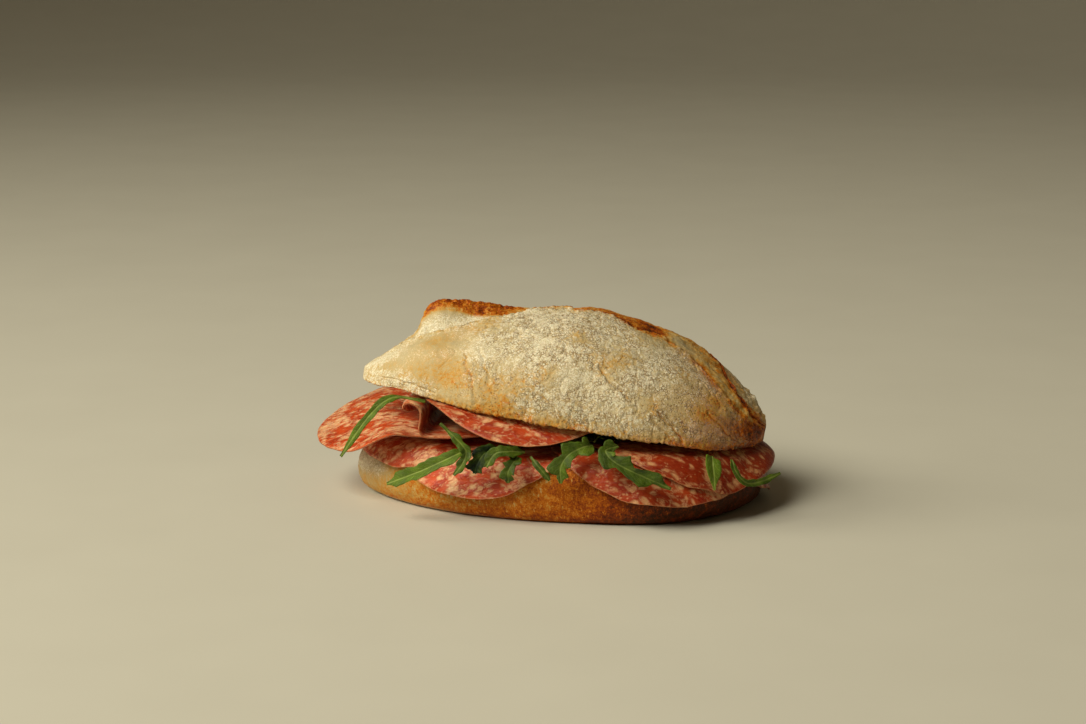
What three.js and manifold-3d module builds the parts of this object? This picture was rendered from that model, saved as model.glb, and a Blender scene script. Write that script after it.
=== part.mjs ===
// A salami panini: a crusty roll cut through, its floured top half propped up by folded salami
// slices and rocket leaves. Millimetres, +X along the roll, +Y to its back, +Z up. The origin is the
// middle of the roll's flat base.
import * as THREE from 'three';
import Module from 'manifold-3d';
import { mergeVertices } from 'three/addons/utils/BufferGeometryUtils.js';

const wasm = await Module();
wasm.setup();

// ---------------------------------------------------------------- driving sizes

// The roll's outline seen from above: two round-ended halves that meet at its widest place.
const ROLL = { widestAt: 15, halfWidth: 45.5, leftReach: 95, rightReach: 65 };
const END_SHAPE = { left: { power: 2.4, fullness: 0.75 }, right: { power: 3, fullness: 0.65 } };
const END_INSET = 1.45; // an inset takes this much more off the length than off the width

const BOTTOM_HEIGHT = 23; // of the bottom half, base to cut
const BOTTOM_END_SINK = { left: 1.6, right: 3.4 }; // the cut is this much lower at the ends

const TOP_TILT = THREE.MathUtils.degToRad(7.7); // the top half's left end is propped up
const TOP_LIFT = 38.3; // height of the top half's cut above the origin
const TOP_HALF = { peakAt: 7, height: 36.8, leftReach: 88, rightReach: 75.5, halfWidth: 44.3 };
const TOP_OUTLINE = { leftReach: 92.5, rightReach: 66.3 };
const TOP_CROWN = { left: { power: 1.3, fullness: 0.72 }, right: { power: 1.5, fullness: 0.5 } };
const TOP_END_SAG = { left: 4.2, right: 2.4 }; // the top half's ends bend down by this much
const SECTION_POWER = 2.3; // of the dome's cross-section: 2 would be a plain ellipse

// The lengthwise score in the crust, as [x, angle over the dome] with 0 at the front edge, 180 at the back.
const FLAP_EDGE = [[-76, 84], [-58, 79], [-48, 76], [-36, 82], [-28, 84], [-20, 86], [-13, 91], [-2, 93],
  [3, 90], [11, 93], [19.5, 89], [26, 85], [35, 87], [42, 83.5], [49, 79], [55.5, 70.5], [62.5, 60],
  [69, 51], [76, 41]];
const BACK_EDGE = [[-76, 92], [-58, 99], [-48, 100], [-36, 102], [-20, 108], [0, 119], [20, 124],
  [40, 122], [52, 113], [59, 101], [63, 87], [67, 75], [71, 66], [76, 57]];
// The ear that the score lifted at the left, as [x, height].
const EAR = [[-63, 0], [-59.5, 1.6], [-56.6, 8.4], [-54, 10.4], [-50, 10.2], [-44, 8.2], [-34, 4.8],
  [-25, 2], [-16, 0.4], [0, 0]];
const FLAP_LIP = { left: 1.1, right: 0.2 }; // how far the front flap's edge stands up
const BELLY_SINK = { left: 1.6, right: 0.4 }; // how far the opened crust between the edges lies below them

const SLICE = { radius: 40, thickness: 0.9, pitch: 1.65, clearance: 1.35 };
const RIM = { inset: 2, bendStart: 5, bendRadius: 5.5, hangAngle: THREE.MathUtils.degToRad(69) };
const TUCKED_DEPTH = { upper: 1.0, under: 2.5 }; // of the two upper slices below the top half's cut
const SLICE_RINGS = [0.4, 0.66, 0.8, 0.91, 1]; // of a slice's mesh, as parts of its radius
const FINE_SLICE_RINGS = [0.2, 0.36, 0.5, 0.63, 0.75, 0.84, 0.92, 1];

const LEAF_THICKNESS = 0.6;
const LEAF_GRID = { along: 15, across: 2 };
const HEAP = { left: -40, right: 37, halfDepth: 33, bumps: 0.4 };

const COLOURS = {
  crust: 0xc99a55, flouredCrust: 0xd9c79c, salami: 0xb5493a, leaf: 0x4f7a35, innerLeaf: 0x2e4a1f,
};

// ---------------------------------------------------------------- general helpers

const { degToRad, lerp, smoothstep, clamp } = THREE.MathUtils;
const TURN = Math.PI * 2;

/** A smooth value along x through stations given as [x, value]. */
function trackThrough(stations) {
  const places = stations.map(([x]) => x);
  const values = stations.map(([, value]) => value);
  const curve = new THREE.CubicInterpolant(places, values, 1);
  return (x) => curve.evaluate(x)[0];
}

/** Evenly spaced numbers from `start` to `end`, both included. */
function spread(start, end, count) {
  return Array.from({ length: count }, (_, i) => lerp(start, end, i / (count - 1)));
}

/** A small smooth unevenness between -1 and 1, the same for the same place. */
function unevenness(x, y, z) {
  const long = Math.sin(0.11 * x + 0.07 * y + 1.3) * Math.cos(0.09 * z - 0.05 * x + 0.6);
  const short = Math.sin(0.23 * x - 0.19 * z + 2.1) * Math.sin(0.27 * y + 0.13 * z + 0.4);
  return 0.6 * long + 0.4 * short;
}

/** An indexed geometry from a list of Vector3 and a list of triangles. */
function solidGeometry(points, triangles) {
  const geometry = new THREE.BufferGeometry();
  geometry.setAttribute('position', new THREE.Float32BufferAttribute(points.flatMap((p) => p.toArray()), 3));
  geometry.setIndex(triangles.flat());
  geometry.computeVertexNormals();
  return geometry;
}

/** Joins closed rings of equal length into a skin and closes both ends with a fan. */
function loftRings(rings, firstTip, lastTip) {
  const size = rings[0].length;
  const points = [...rings.flat(), firstTip, lastTip];
  const first = points.length - 2;
  const last = points.length - 1;
  const triangles = [];
  for (let k = 0; k < size; k += 1) {
    const next = (k + 1) % size;
    triangles.push([first, next, k]);
    for (let r = 0; r < rings.length - 1; r += 1) {
      const here = r * size;
      const above = here + size;
      triangles.push([here + k, here + next, above + next], [here + k, above + next, above + k]);
    }
    const top = (rings.length - 1) * size;
    triangles.push([top + k, top + next, last]);
  }
  return solidGeometry(points, triangles);
}

/** Unit normal of the surface `place(u, v)`. */
function normalOf(place, u, v) {
  const step = 0.05;
  const alongU = place(u + step, v).sub(place(u - step, v));
  const alongV = place(u, v + step).sub(place(u, v - step));
  return alongU.cross(alongV).normalize();
}

/** A thin solid over the sheet points `flat` = [[u, v], ...]: both faces are split into `triangles` alike. */
function thickenSheet(place, flat, triangles, rim, thickness) {
  const middle = flat.map(([u, v]) => place(u, v));
  const normals = flat.map(([u, v]) => normalOf(place, u, v));
  const upper = middle.map((p, i) => p.clone().addScaledVector(normals[i], thickness / 2));
  const lower = middle.map((p, i) => p.clone().addScaledVector(normals[i], -thickness / 2));
  const shift = flat.length;
  const faces = triangles.flatMap(([a, b, c]) => [[a, b, c], [a + shift, c + shift, b + shift]]);
  rim.forEach((here, i) => {
    const next = rim[(i + 1) % rim.length];
    faces.push([here, here + shift, next + shift], [here, next + shift, next]);
  });
  return solidGeometry([...upper, ...lower], faces);
}

/** A path in a plane made of straight and round stretches, [length, turn], walked by its length. */
function walkPath(start, heading, stretches) {
  return (distance) => {
    let [across, up] = start;
    let angle = heading;
    let left = distance;
    for (const [index, [length, turn]] of stretches.entries()) {
      const isEnd = index === stretches.length - 1 || left < length;
      const travel = isEnd ? left : length;
      const bend = turn / length;
      const turned = bend * travel;
      if (Math.abs(bend) < 1e-9) {
        across += travel * Math.cos(angle);
        up += travel * Math.sin(angle);
      } else {
        across += (Math.sin(angle + turned) - Math.sin(angle)) / bend;
        up += (Math.cos(angle) - Math.cos(angle + turned)) / bend;
      }
      angle += turned;
      if (isEnd) break;
      left -= length;
    }
    return [across, up];
  };
}

// ---------------------------------------------------------------- the roll's outline

/** A point of the roll's outline, moved inwards by `inset`, at an angle round its widest place. */
function outlinePoint(angle, inset) {
  const along = Math.cos(angle);
  const isRight = along > 0;
  const { power, fullness } = isRight ? END_SHAPE.right : END_SHAPE.left;
  const reach = (isRight ? ROLL.rightReach : ROLL.leftReach) - inset * END_INSET;
  const width = (ROLL.halfWidth - inset) * Math.max(0, 1 - Math.abs(along) ** power) ** fullness;
  return new THREE.Vector2(ROLL.widestAt + along * reach, Math.sign(Math.sin(angle)) * width);
}

/** Height of the bottom half's cut at x. */
function cutHeight(x) {
  const sink = x > 0 ? BOTTOM_END_SINK.right : BOTTOM_END_SINK.left;
  return BOTTOM_HEIGHT - sink * Math.abs(x / 80) ** 3;
}

/** Height of the plane that the top half was cut along. */
function topCutHeight(x) {
  return TOP_LIFT - Math.tan(TOP_TILT) * x;
}

// ---------------------------------------------------------------- bread

/** The bottom half: flat base, round crust, cut face with a slight hollow. */
function bottomHalf() {
  const segments = 54;
  const angles = Array.from({ length: segments }, (_, i) => -Math.PI + (i / segments) * TURN);
  const levels = [
    { inset: 5, height: 0 }, { inset: 2.4, height: 1.6 }, { inset: 0.8, height: 5 },
    { inset: 0, height: 10 }, { inset: 0.6, height: 14.5 }, { inset: 2, height: 18.6 },
    { inset: 3.6, height: 21 }, { inset: 6, height: 22.4 }, { inset: 10, height: 22.8 },
    { inset: 18, height: 21.8 }, { inset: 31, height: 21.2 },
  ];
  const rings = levels.map(({ inset, height }) => angles.map((angle) => {
    const flat = outlinePoint(angle, inset);
    const rise = height * (cutHeight(flat.x) / BOTTOM_HEIGHT);
    const bump = smoothstep(height, 0, 10) * 0.35 * unevenness(flat.x, flat.y, rise);
    return new THREE.Vector3(flat.x * (1 + bump / 60), flat.y * (1 + bump / 40), rise);
  }));
  return loftRings(rings, new THREE.Vector3(0, 0, 0), new THREE.Vector3(ROLL.widestAt, 0, 21));
}

const flapEdgeAt = trackThrough(FLAP_EDGE);
const backEdgeAt = trackThrough(BACK_EDGE);
const earAt = trackThrough(EAR);

/** Height of the top half's dome at x, without the ear. */
function crownHeight(x) {
  const isRight = x > TOP_HALF.peakAt;
  const { power, fullness } = isRight ? TOP_CROWN.right : TOP_CROWN.left;
  const reach = isRight ? TOP_HALF.rightReach : TOP_HALF.leftReach;
  const along = clamp(Math.abs(x - TOP_HALF.peakAt) / reach, 0, 1);
  return TOP_HALF.height * (1 - along ** power) ** fullness;
}

/** Half width of the top half at x. */
function crownHalfWidth(x) {
  const isRight = x > ROLL.widestAt;
  const { power, fullness } = isRight ? END_SHAPE.right : END_SHAPE.left;
  const reach = isRight ? TOP_OUTLINE.rightReach : TOP_OUTLINE.leftReach;
  const along = clamp(Math.abs(x - ROLL.widestAt) / reach, 0, 1);
  return TOP_HALF.halfWidth * (1 - along ** power) ** fullness;
}

/** How far the top half's ends bend down at x. */
function endSag(x) {
  return TOP_END_SAG.left * smoothstep(-x, 52, 82) + TOP_END_SAG.right * smoothstep(x, 42, 78);
}

/** How far the crust stands off the plain dome: the flap's lip, the opened belly and the ear. */
function scoreRelief(x, angle) {
  const flap = flapEdgeAt(x);
  const back = backEdgeAt(x);
  const fade = smoothstep(x, -74, -60) * (1 - smoothstep(x, 66, 76));
  if (angle <= flap) {
    const lip = lerp(FLAP_LIP.left, FLAP_LIP.right, smoothstep(x, -2, 12));
    return lip * fade * (1 - smoothstep(flap - angle, 0, 14));
  }
  const ear = Math.max(0, earAt(x));
  if (angle >= back) {
    const away = smoothstep(angle - back, 0, 34);
    return ear * (1 - away) + 0.7 * fade * (1 - smoothstep(angle - back, 0, 10));
  }
  const across = (angle - flap) / (back - flap);
  const sink = lerp(BELLY_SINK.left, BELLY_SINK.right, smoothstep(x, -6, 8));
  const belly = -sink * fade * Math.sin(Math.PI * clamp(across * 1.15, 0, 1));
  return belly + ear * smoothstep(across, 0.1, 1);
}

/** A point of the top half's crust before it is tilted. */
function crustPoint(x, angle) {
  const turn = degToRad(angle);
  const shape = 2 / SECTION_POWER;
  const cos = Math.cos(turn);
  const sin = Math.sin(turn);
  const relief = scoreRelief(x, angle);
  const width = crownHalfWidth(x);
  const y = -Math.sign(cos) * (width + relief * Math.abs(cos)) * Math.abs(cos) ** shape;
  const z = crownHeight(x) * sin ** shape + relief * sin;
  const bump = 0.45 * unevenness(x, y, z) * smoothstep(z, 0, 8);
  return new THREE.Vector3(x, y + bump * cos * -0.6, z + bump * sin - endSag(x));
}

/** The angles at which a section of the top half has points: closer together about the score. */
function sectionAngles(x) {
  const flap = flapEdgeAt(x);
  const back = backEdgeAt(x);
  return [
    ...[0, 0.07, 0.16, 0.28, 0.42, 0.56, 0.7, 0.82, 0.92].map((part) => part * flap),
    ...spread(flap, back, 5),
    ...[0.08, 0.2, 0.36, 0.54, 0.72, 0.87, 0.95, 1].map((part) => lerp(back, 180, part)),
  ];
}

/** The top half: floured dome with its lengthwise score and ear, over a cut face with a slight hollow. */
function topHalf() {
  const stations = 42;
  const left = ROLL.widestAt - TOP_OUTLINE.leftReach;
  const right = ROLL.widestAt + TOP_OUTLINE.rightReach;
  const rings = spread(0.035, 0.972, stations).map((part) => {
    const x = lerp(left, right, (1 - Math.cos(part * Math.PI)) / 2);
    const dome = sectionAngles(x).map((angle) => crustPoint(x, angle));
    const width = crownHalfWidth(x);
    const hollow = 1.6 * smoothstep(width, 10, 30);
    const cutFace = [0.86, 0.5, 0, -0.5, -0.86].map((side) => (
      new THREE.Vector3(x, width * side, hollow * (1 - side ** 4) - endSag(x))));
    return [...dome, ...cutFace].reverse();
  });
  const leftTip = new THREE.Vector3(left + 0.3, 0, 2.5 - endSag(left));
  const rightTip = new THREE.Vector3(right - 0.2, 0, 4 - endSag(right));
  return loftRings(rings, leftTip, rightTip);
}

// ---------------------------------------------------------------- salami

/** Flat points and triangles of a disc: `ringParts` gives its rings as parts of the radius. */
function discGrid(radius, ringParts, segments) {
  const flat = [[0, 0]];
  const triangles = [];
  const rings = ringParts.length;
  for (const part of ringParts) {
    for (let s = 0; s < segments; s += 1) {
      const angle = (s / segments) * TURN;
      flat.push([radius * part * Math.cos(angle), radius * part * Math.sin(angle)]);
    }
  }
  const index = (r, s) => (r === 0 ? 0 : 1 + (r - 1) * segments + (s % segments));
  for (let s = 0; s < segments; s += 1) {
    triangles.push([0, index(1, s), index(1, s + 1)]);
    for (let r = 1; r < rings; r += 1) {
      triangles.push([index(r, s), index(r + 1, s), index(r + 1, s + 1)]);
      triangles.push([index(r, s), index(r + 1, s + 1), index(r, s + 1)]);
    }
  }
  const rim = Array.from({ length: segments }, (_, s) => index(rings, s));
  return { flat, triangles, rim };
}

/** A salami slice whose flat disc is carried by `place(u, v)`. */
function salamiSlice(place, radius = SLICE.radius, ringParts = SLICE_RINGS, segments = 30) {
  const { flat, triangles, rim } = discGrid(radius, ringParts, segments);
  return thickenSheet(place, flat, triangles, rim, SLICE.thickness);
}

const rimPoints = Array.from({ length: 720 }, (_, i) => outlinePoint((i / 720) * TURN, RIM.inset));

/** The nearest place on the bottom half's rim, the way out there, and how far outside the point is. */
function nearestRim(x, y) {
  const point = new THREE.Vector2(x, y);
  let best = 0;
  rimPoints.forEach((p, i) => {
    if (p.distanceToSquared(point) < rimPoints[best].distanceToSquared(point)) best = i;
  });
  const before = rimPoints[(best + rimPoints.length - 1) % rimPoints.length];
  const after = rimPoints[(best + 1) % rimPoints.length];
  const along = after.clone().sub(before).normalize();
  const out = new THREE.Vector2(along.y, -along.x);
  const offset = point.clone().sub(rimPoints[best]);
  const distance = offset.dot(out);
  const foot = point.clone().addScaledVector(out, -distance);
  return { foot, out, distance };
}

/** A point of a layer that lies on the bottom half and hangs over its rim, `level` layers up. */
function drapedPoint(x, y, level, lift) {
  const height = level * SLICE.pitch + SLICE.clearance + lift;
  const { foot, out, distance } = nearestRim(x, y);
  const travel = distance + RIM.bendStart;
  if (travel <= 0) return new THREE.Vector3(x, y, cutHeight(x) + height);
  const radius = RIM.bendRadius + height;
  const turned = Math.min(travel / radius, RIM.hangAngle);
  const straight = travel - turned * radius;
  const outward = radius * Math.sin(turned) + straight * Math.cos(turned) - RIM.bendStart;
  const drop = radius * (1 - Math.cos(turned)) + straight * Math.sin(turned);
  return new THREE.Vector3(
    foot.x + out.x * outward, foot.y + out.y * outward, cutHeight(foot.x) + height - drop);
}

/** A slice laid on the bottom half and hanging over its rim; `flare` lifts its right end off the crust. */
function drapedSlice({ centre, level, radius, flare = 0 }) {
  return salamiSlice((u, v) => {
    const x = centre[0] + u;
    return drapedPoint(x, centre[1] + v, level, flare * smoothstep(x, 74, 90));
  }, radius);
}

/** A slice held up under the top half that hangs out at the front or back: `side` is -1 or 1. */
function tuckedSlice({ centre, side, depth, bendAt, radius }) {
  const bend = walkPath([0, 0], 0, [[bendAt, 0], [9, degToRad(-40)], [60, 0]]);
  return salamiSlice((u, v) => {
    const x = centre[0] + u;
    const y = centre[1] + v;
    const [outward, drop] = y * side > 0 ? bend(y * side) : [y * side, 0];
    return new THREE.Vector3(x, outward * side, topCutHeight(x) - depth + drop);
  }, radius);
}

/** Height of layer `level` of the slices that lie flat in the middle of the bottom half. */
function layerHeight(level) {
  return BOTTOM_HEIGHT + SLICE.clearance + level * SLICE.pitch;
}

/** The slice that slips out at the left end: it humps over those below, then droops left and forwards. */
function outerLeftSlice() {
  const radius = 40;
  const middleY = 7;
  const path = walkPath([-18, layerHeight(3)], Math.PI, [
    [27, 0], [8, degToRad(-6)], [4, 0], [24, degToRad(26)], [17, 0],
  ]);
  return salamiSlice((u, v) => {
    const along = radius + u;
    const [x, z] = path(along);
    const y = middleY - v;
    const tilt = (0.18 * y - 0.0025 * y * y) * smoothstep(along, 38, 62);
    return new THREE.Vector3(x, y, z + tilt);
  }, radius);
}

/** The curled slice: it lies under the filling, stands up at its left end and rolls over in a loop. */
function curledSlice() {
  const radius = 31.5;
  const middleY = -8;
  const path = walkPath([-11.5, layerHeight(4)], Math.PI, [
    [33, 0], [5.8, degToRad(-98)], [3.4, 0], [15.4, degToRad(192)], [10, degToRad(60)],
  ]);
  return salamiSlice((u, v) => {
    const [x, z] = path(radius + u);
    return new THREE.Vector3(x, middleY - v, z);
  }, radius, FINE_SLICE_RINGS);
}

// ---------------------------------------------------------------- rocket

/** A wavy leaf along a curve. `lobes` is how many pairs of side lobes it has, `stalk` how long it is bare. */
function leaf({ spine, width, lobes = 2, depth = 0.4, stalk = 0.2, facing = [0, -0.8, 0.6], wave = 0.5 }) {
  const curve = new THREE.CatmullRomCurve3(spine.map((p) => new THREE.Vector3(...p)));
  const outward = new THREE.Vector3(...facing).normalize();
  const halfWidth = (part) => {
    const blade = smoothstep(part, stalk, stalk + 0.18) * (1 - smoothstep(part, 0.72, 1) ** 1.5 * 0.92);
    const notch = 1 - depth * (0.5 + 0.5 * Math.cos(TURN * lobes * part));
    return 0.55 + (width / 2 - 0.55) * blade * notch;
  };
  const place = (part, across) => {
    const at = clamp(part, 0, 1);
    const point = curve.getPoint(at);
    const along = curve.getTangent(at);
    const side = along.clone().cross(outward).normalize();
    const face = side.clone().cross(along);
    const ripple = wave * across * across * Math.sin(TURN * lobes * part + 1);
    return point.addScaledVector(side, across * halfWidth(at)).addScaledVector(face, ripple);
  };
  return ribbonSolid(place);
}

/** The thin solid over a strip `place(part, across)` with part from 0 to 1 and across from -1 to 1. */
function ribbonSolid(place) {
  const { along, across } = LEAF_GRID;
  const flat = [];
  const triangles = [];
  for (let i = 0; i <= along; i += 1) {
    for (let j = 0; j <= across; j += 1) flat.push([0.01 + 0.98 * (i / along), -0.97 + 1.94 * (j / across)]);
  }
  const index = (i, j) => i * (across + 1) + j;
  for (let i = 0; i < along; i += 1) {
    for (let j = 0; j < across; j += 1) {
      triangles.push([index(i, j), index(i + 1, j), index(i + 1, j + 1)]);
      triangles.push([index(i, j), index(i + 1, j + 1), index(i, j + 1)]);
    }
  }
  const rim = [];
  for (let i = 0; i < along; i += 1) rim.push(index(i, 0));
  for (let j = 0; j < across; j += 1) rim.push(index(along, j));
  for (let i = along; i > 0; i -= 1) rim.push(index(i, across));
  for (let j = across; j > 0; j -= 1) rim.push(index(0, j));
  return thickenSheet(place, flat, triangles, rim, LEAF_THICKNESS);
}

/** A geometry as a manifold solid. */
function toManifold(geometry) {
  const bare = geometry.clone();
  bare.deleteAttribute('normal');
  const merged = mergeVertices(bare, 1e-4);
  return new wasm.Manifold(new wasm.Mesh({
    numProp: 3,
    vertProperties: new Float32Array(merged.getAttribute('position').array),
    triVerts: new Uint32Array(merged.getIndex().array),
  }));
}

/** A manifold solid as a geometry. */
function fromManifold(solid) {
  const mesh = solid.getMesh();
  const geometry = new THREE.BufferGeometry();
  geometry.setAttribute('position', new THREE.BufferAttribute(new Float32Array(mesh.vertProperties), 3));
  geometry.setIndex(new THREE.BufferAttribute(new Uint32Array(mesh.triVerts), 1));
  geometry.computeVertexNormals();
  return geometry;
}

/** Height of the heap's underside, just above the slices that it lies on. */
function heapFloor(x) {
  const level = 2 + 2 * (1 - smoothstep(x, -7, 2));
  return cutHeight(x) + SLICE.clearance + SLICE.pitch * level + 0.9;
}

/** Height of the heap's top, just below the slices that are tucked under the top half. */
function heapRoof(x) {
  return topCutHeight(x) - TUCKED_DEPTH.under - 0.9;
}

/** The heap's smaller core: a low wedge between the slices below and the slices above. */
function heapCore() {
  const segments = 30;
  const middle = (HEAP.left + HEAP.right) / 2;
  const reach = (HEAP.right - HEAP.left) / 2;
  const ring = (part, side) => Array.from({ length: segments }, (_, i) => {
    const angle = (i / segments) * TURN;
    const ragged = 1 + 0.05 * Math.sin(5 * angle + 1) + 0.03 * Math.sin(11 * angle);
    const x = middle + reach * part * ragged * Math.cos(angle);
    const y = HEAP.halfDepth * part * ragged * Math.sin(angle);
    const bump = HEAP.bumps * Math.sin(0.5 * x) * Math.cos(0.43 * y);
    const level = (heapFloor(x) + heapRoof(x)) / 2;
    const half = (heapRoof(x) - heapFloor(x)) / 2 - HEAP.bumps;
    const thin = Math.sqrt(1 - (part * 0.97) ** 2);
    return new THREE.Vector3(x, y, level + side * half * thin + (side > 0 ? bump * thin : 0));
  });
  const rings = [
    ring(0.5, -1), ring(0.85, -1), ring(1, -1), ring(1, 1), ring(0.85, 1), ring(0.6, 1), ring(0.3, 1),
  ];
  const below = new THREE.Vector3(middle, 0, heapFloor(middle) + HEAP.bumps);
  const above = new THREE.Vector3(middle, 0, heapRoof(middle) - HEAP.bumps);
  return loftRings(rings, below, above);
}

/** The heap of rocket inside: its core with the leaves that stick out at the back and front fused on. */
function rocketHeap() {
  const stickingOut = [
    { route: [[-30, 20], [-34, 36], [-37, 42]], width: 9 },
    { route: [[-14, 20], [-13, 34], [-11, 41]], width: 10 },
    { route: [[10, 18], [12, 32], [14, 38]], width: 9 },
    { route: [[32, -12], [42, -30], [50, -36]], width: 8 },
    { route: [[-20, -18], [-22, -32], [-23, -41]], width: 9 },
    { route: [[4, -18], [2, -32], [1, -41]], width: 9 },
  ];
  const pieces = stickingOut.map(({ route, width }) => {
    const spine = route.map(([x, y]) => [x, y, (heapFloor(x) + heapRoof(x)) / 2]);
    return toManifold(leaf({ spine, width, facing: [0, 0, 1], stalk: 0 }));
  });
  const whole = pieces.reduce((sum, piece) => sum.add(piece), toManifold(heapCore()));
  return fromManifold(whole);
}

/** The leaves that show in front, from left to right. */
const FRONT_LEAVES = {
  leaf_left: {
    spine: [[-46, -35.5, 44], [-55.4, -38.5, 46.2], [-60.6, -41, 44.8], [-65.8, -43.5, 39.9],
      [-71.5, -44.5, 32.2], [-77, -44.5, 23.8]],
    width: 5.4, depth: 0.1, stalk: 0.15, wave: 0.2,
  },
  leaf_lower_left: {
    spine: [[-27, -46.5, 29.4], [-34.1, -50.5, 26.2], [-43.6, -51.5, 21.6], [-51.7, -50, 17.8],
      [-58.6, -48, 14.6]],
    width: 6.2, depth: 0.2, stalk: 0.05, wave: 0.3,
  },
  leaf_stem: {
    spine: [[-37.7, -50, 39.2], [-31.9, -52, 34.4], [-27.6, -53, 29.6], [-28.6, -54, 25.2],
      [-31.9, -54.5, 20.6]],
    width: 4.4, depth: 0.35, stalk: 0.1, wave: 0.3,
  },
  leaf_dark: {
    spine: [[-15.5, -44.5, 29.2], [-20.5, -48.5, 28.4], [-23.4, -51.4, 24.6], [-24.5, -52.4, 21]],
    width: 7.5, depth: 0.3, stalk: 0.05, wave: 0.3,
  },
  leaf_arched: {
    spine: [[-6.5, -45.6, 28.2], [-12.2, -51.6, 29.6], [-16.8, -52.4, 28.6], [-19.8, -54, 24]],
    width: 5.4, depth: 0.25, stalk: 0, wave: 0.3,
  },
  leaf_middle: {
    spine: [[-8.8, -48.4, 27], [-9.8, -52.4, 25.6], [-11.5, -54, 22.4], [-11.4, -54.8, 18.4]],
    width: 6.4, depth: 0.45, stalk: 0, wave: 0.3,
  },
  leaf_thin: {
    spine: [[-3.8, -48.6, 27.2], [-1.2, -51.6, 25], [1.6, -52.6, 22.2], [4, -53.2, 19.6]],
    width: 2.6, depth: 0.1, stalk: 0.1, wave: 0.1,
  },
  leaf_lobed: {
    spine: [[18.8, -43.4, 31], [15.9, -48, 31.4], [10.8, -51.4, 29], [8, -52.6, 24.4], [8.2, -53.4, 18.6]],
    width: 9.5, depth: 0.5, stalk: 0, wave: 0.4,
  },
  leaf_broad: {
    spine: [[28.6, -44.6, 31.4], [24.3, -48.6, 30.4], [28.4, -52, 26.8], [37.6, -53.4, 22.8],
      [49.2, -53.4, 18]],
    width: 9.5, depth: 0.45, stalk: 0, wave: 0.4,
  },
  leaf_short: {
    spine: [[63.2, -39.4, 27.4], [63.6, -42.6, 25.6], [64.3, -44.4, 21.2], [64.8, -45.2, 16]],
    width: 6.4, depth: 0, stalk: 0, wave: 0.1, facing: [0.5, -0.8, 0.4],
  },
  leaf_curled: {
    spine: [[70.4, -37.6, 26], [72.2, -40, 21.8], [76.4, -38, 17.2], [82, -31, 16.6], [88, -25, 18.2]],
    width: 3.8, depth: 0.3, stalk: 0, wave: 0.2, facing: [0.6, -0.7, 0.4],
  },
};

/** The leaves at the back, finished like those in front. */
const BACK_LEAVES = {
  leaf_back_left: {
    spine: [[-30, 45.5, 30.6], [-40, 49, 27.6], [-50, 50, 22.4], [-58, 49, 17]],
    width: 7, depth: 0.35, stalk: 0, facing: [0, 0.8, 0.6],
  },
  leaf_back_middle: {
    spine: [[6, 47.4, 30], [-2, 51.5, 27.4], [-6, 53.6, 22], [-5, 54.4, 16.6]],
    width: 8, depth: 0.45, stalk: 0, facing: [0, 0.8, 0.6],
  },
  leaf_back_right: {
    spine: [[42, 45.4, 28.6], [50, 47.6, 25.6], [56, 48.4, 20.8], [60, 48.6, 15.4]],
    width: 7, depth: 0.4, stalk: 0, facing: [0.2, 0.8, 0.5],
  },
};

// ---------------------------------------------------------------- the panini

function material(colour, roughness) {
  return new THREE.MeshStandardMaterial({ color: colour, roughness, metalness: 0 });
}

const materials = {
  crust: material(COLOURS.crust, 0.8),
  flouredCrust: material(COLOURS.flouredCrust, 0.92),
  salami: material(COLOURS.salami, 0.45),
  leaf: material(COLOURS.leaf, 0.5),
  innerLeaf: material(COLOURS.innerLeaf, 0.6),
};

const panini = new THREE.Group();

/** Adds one named piece and returns it for placing. */
function addPiece(name, geometry, finish) {
  const mesh = new THREE.Mesh(geometry, finish);
  mesh.name = name;
  panini.add(mesh);
  return mesh;
}

addPiece('roll_bottom', bottomHalf(), materials.crust);

const top = addPiece('roll_top', topHalf(), materials.flouredCrust);
top.rotation.y = TOP_TILT;
top.position.z = TOP_LIFT;

const DRAPED_SLICES = {
  slice_front_left: { centre: [-22, -16], level: 0, radius: 38.5 },
  slice_right_end: { centre: [57, 7], level: 0, radius: 36 },
  slice_front_right: { centre: [39, -18], level: 1, radius: SLICE.radius },
  slice_left_lower: { centre: [-41, 2], level: 1, radius: 39.5 },
  slice_front_corner: { centre: [49.5, -9], level: 2.2, radius: 39.5, flare: 3 },
  slice_back: { centre: [-24, 21], level: 2.1, radius: 33 },
};
for (const [name, shape] of Object.entries(DRAPED_SLICES)) {
  addPiece(name, drapedSlice(shape), materials.salami);
}
addPiece('slice_left_outer', outerLeftSlice(), materials.salami);
addPiece('slice_left_curled', curledSlice(), materials.salami);

const topFront = { centre: [-12, -10], side: -1, depth: TUCKED_DEPTH.upper, bendAt: 34, radius: 40 };
const topBack = { centre: [18, 12], side: 1, depth: TUCKED_DEPTH.under, bendAt: 36, radius: 38 };
addPiece('slice_top_front', tuckedSlice(topFront), materials.salami);
addPiece('slice_top_back', tuckedSlice(topBack), materials.salami);

addPiece('rocket_heap', rocketHeap(), materials.innerLeaf);
for (const [name, shape] of Object.entries({ ...FRONT_LEAVES, ...BACK_LEAVES })) {
  addPiece(name, leaf(shape), materials.leaf);
}

export default panini;
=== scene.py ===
# %% [markdown]
# # A salami panini
# A crusty roll, cut through and filled with salami slices and rocket leaves. The solids of the part
# come as a fixed frame, in metres, with +X along the roll, +Y to its back and +Z up. This script
# gives every piece its fine shape and its material. Lengths below are in millimetres, and they are
# turned into metres only when a mesh is made.

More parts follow.
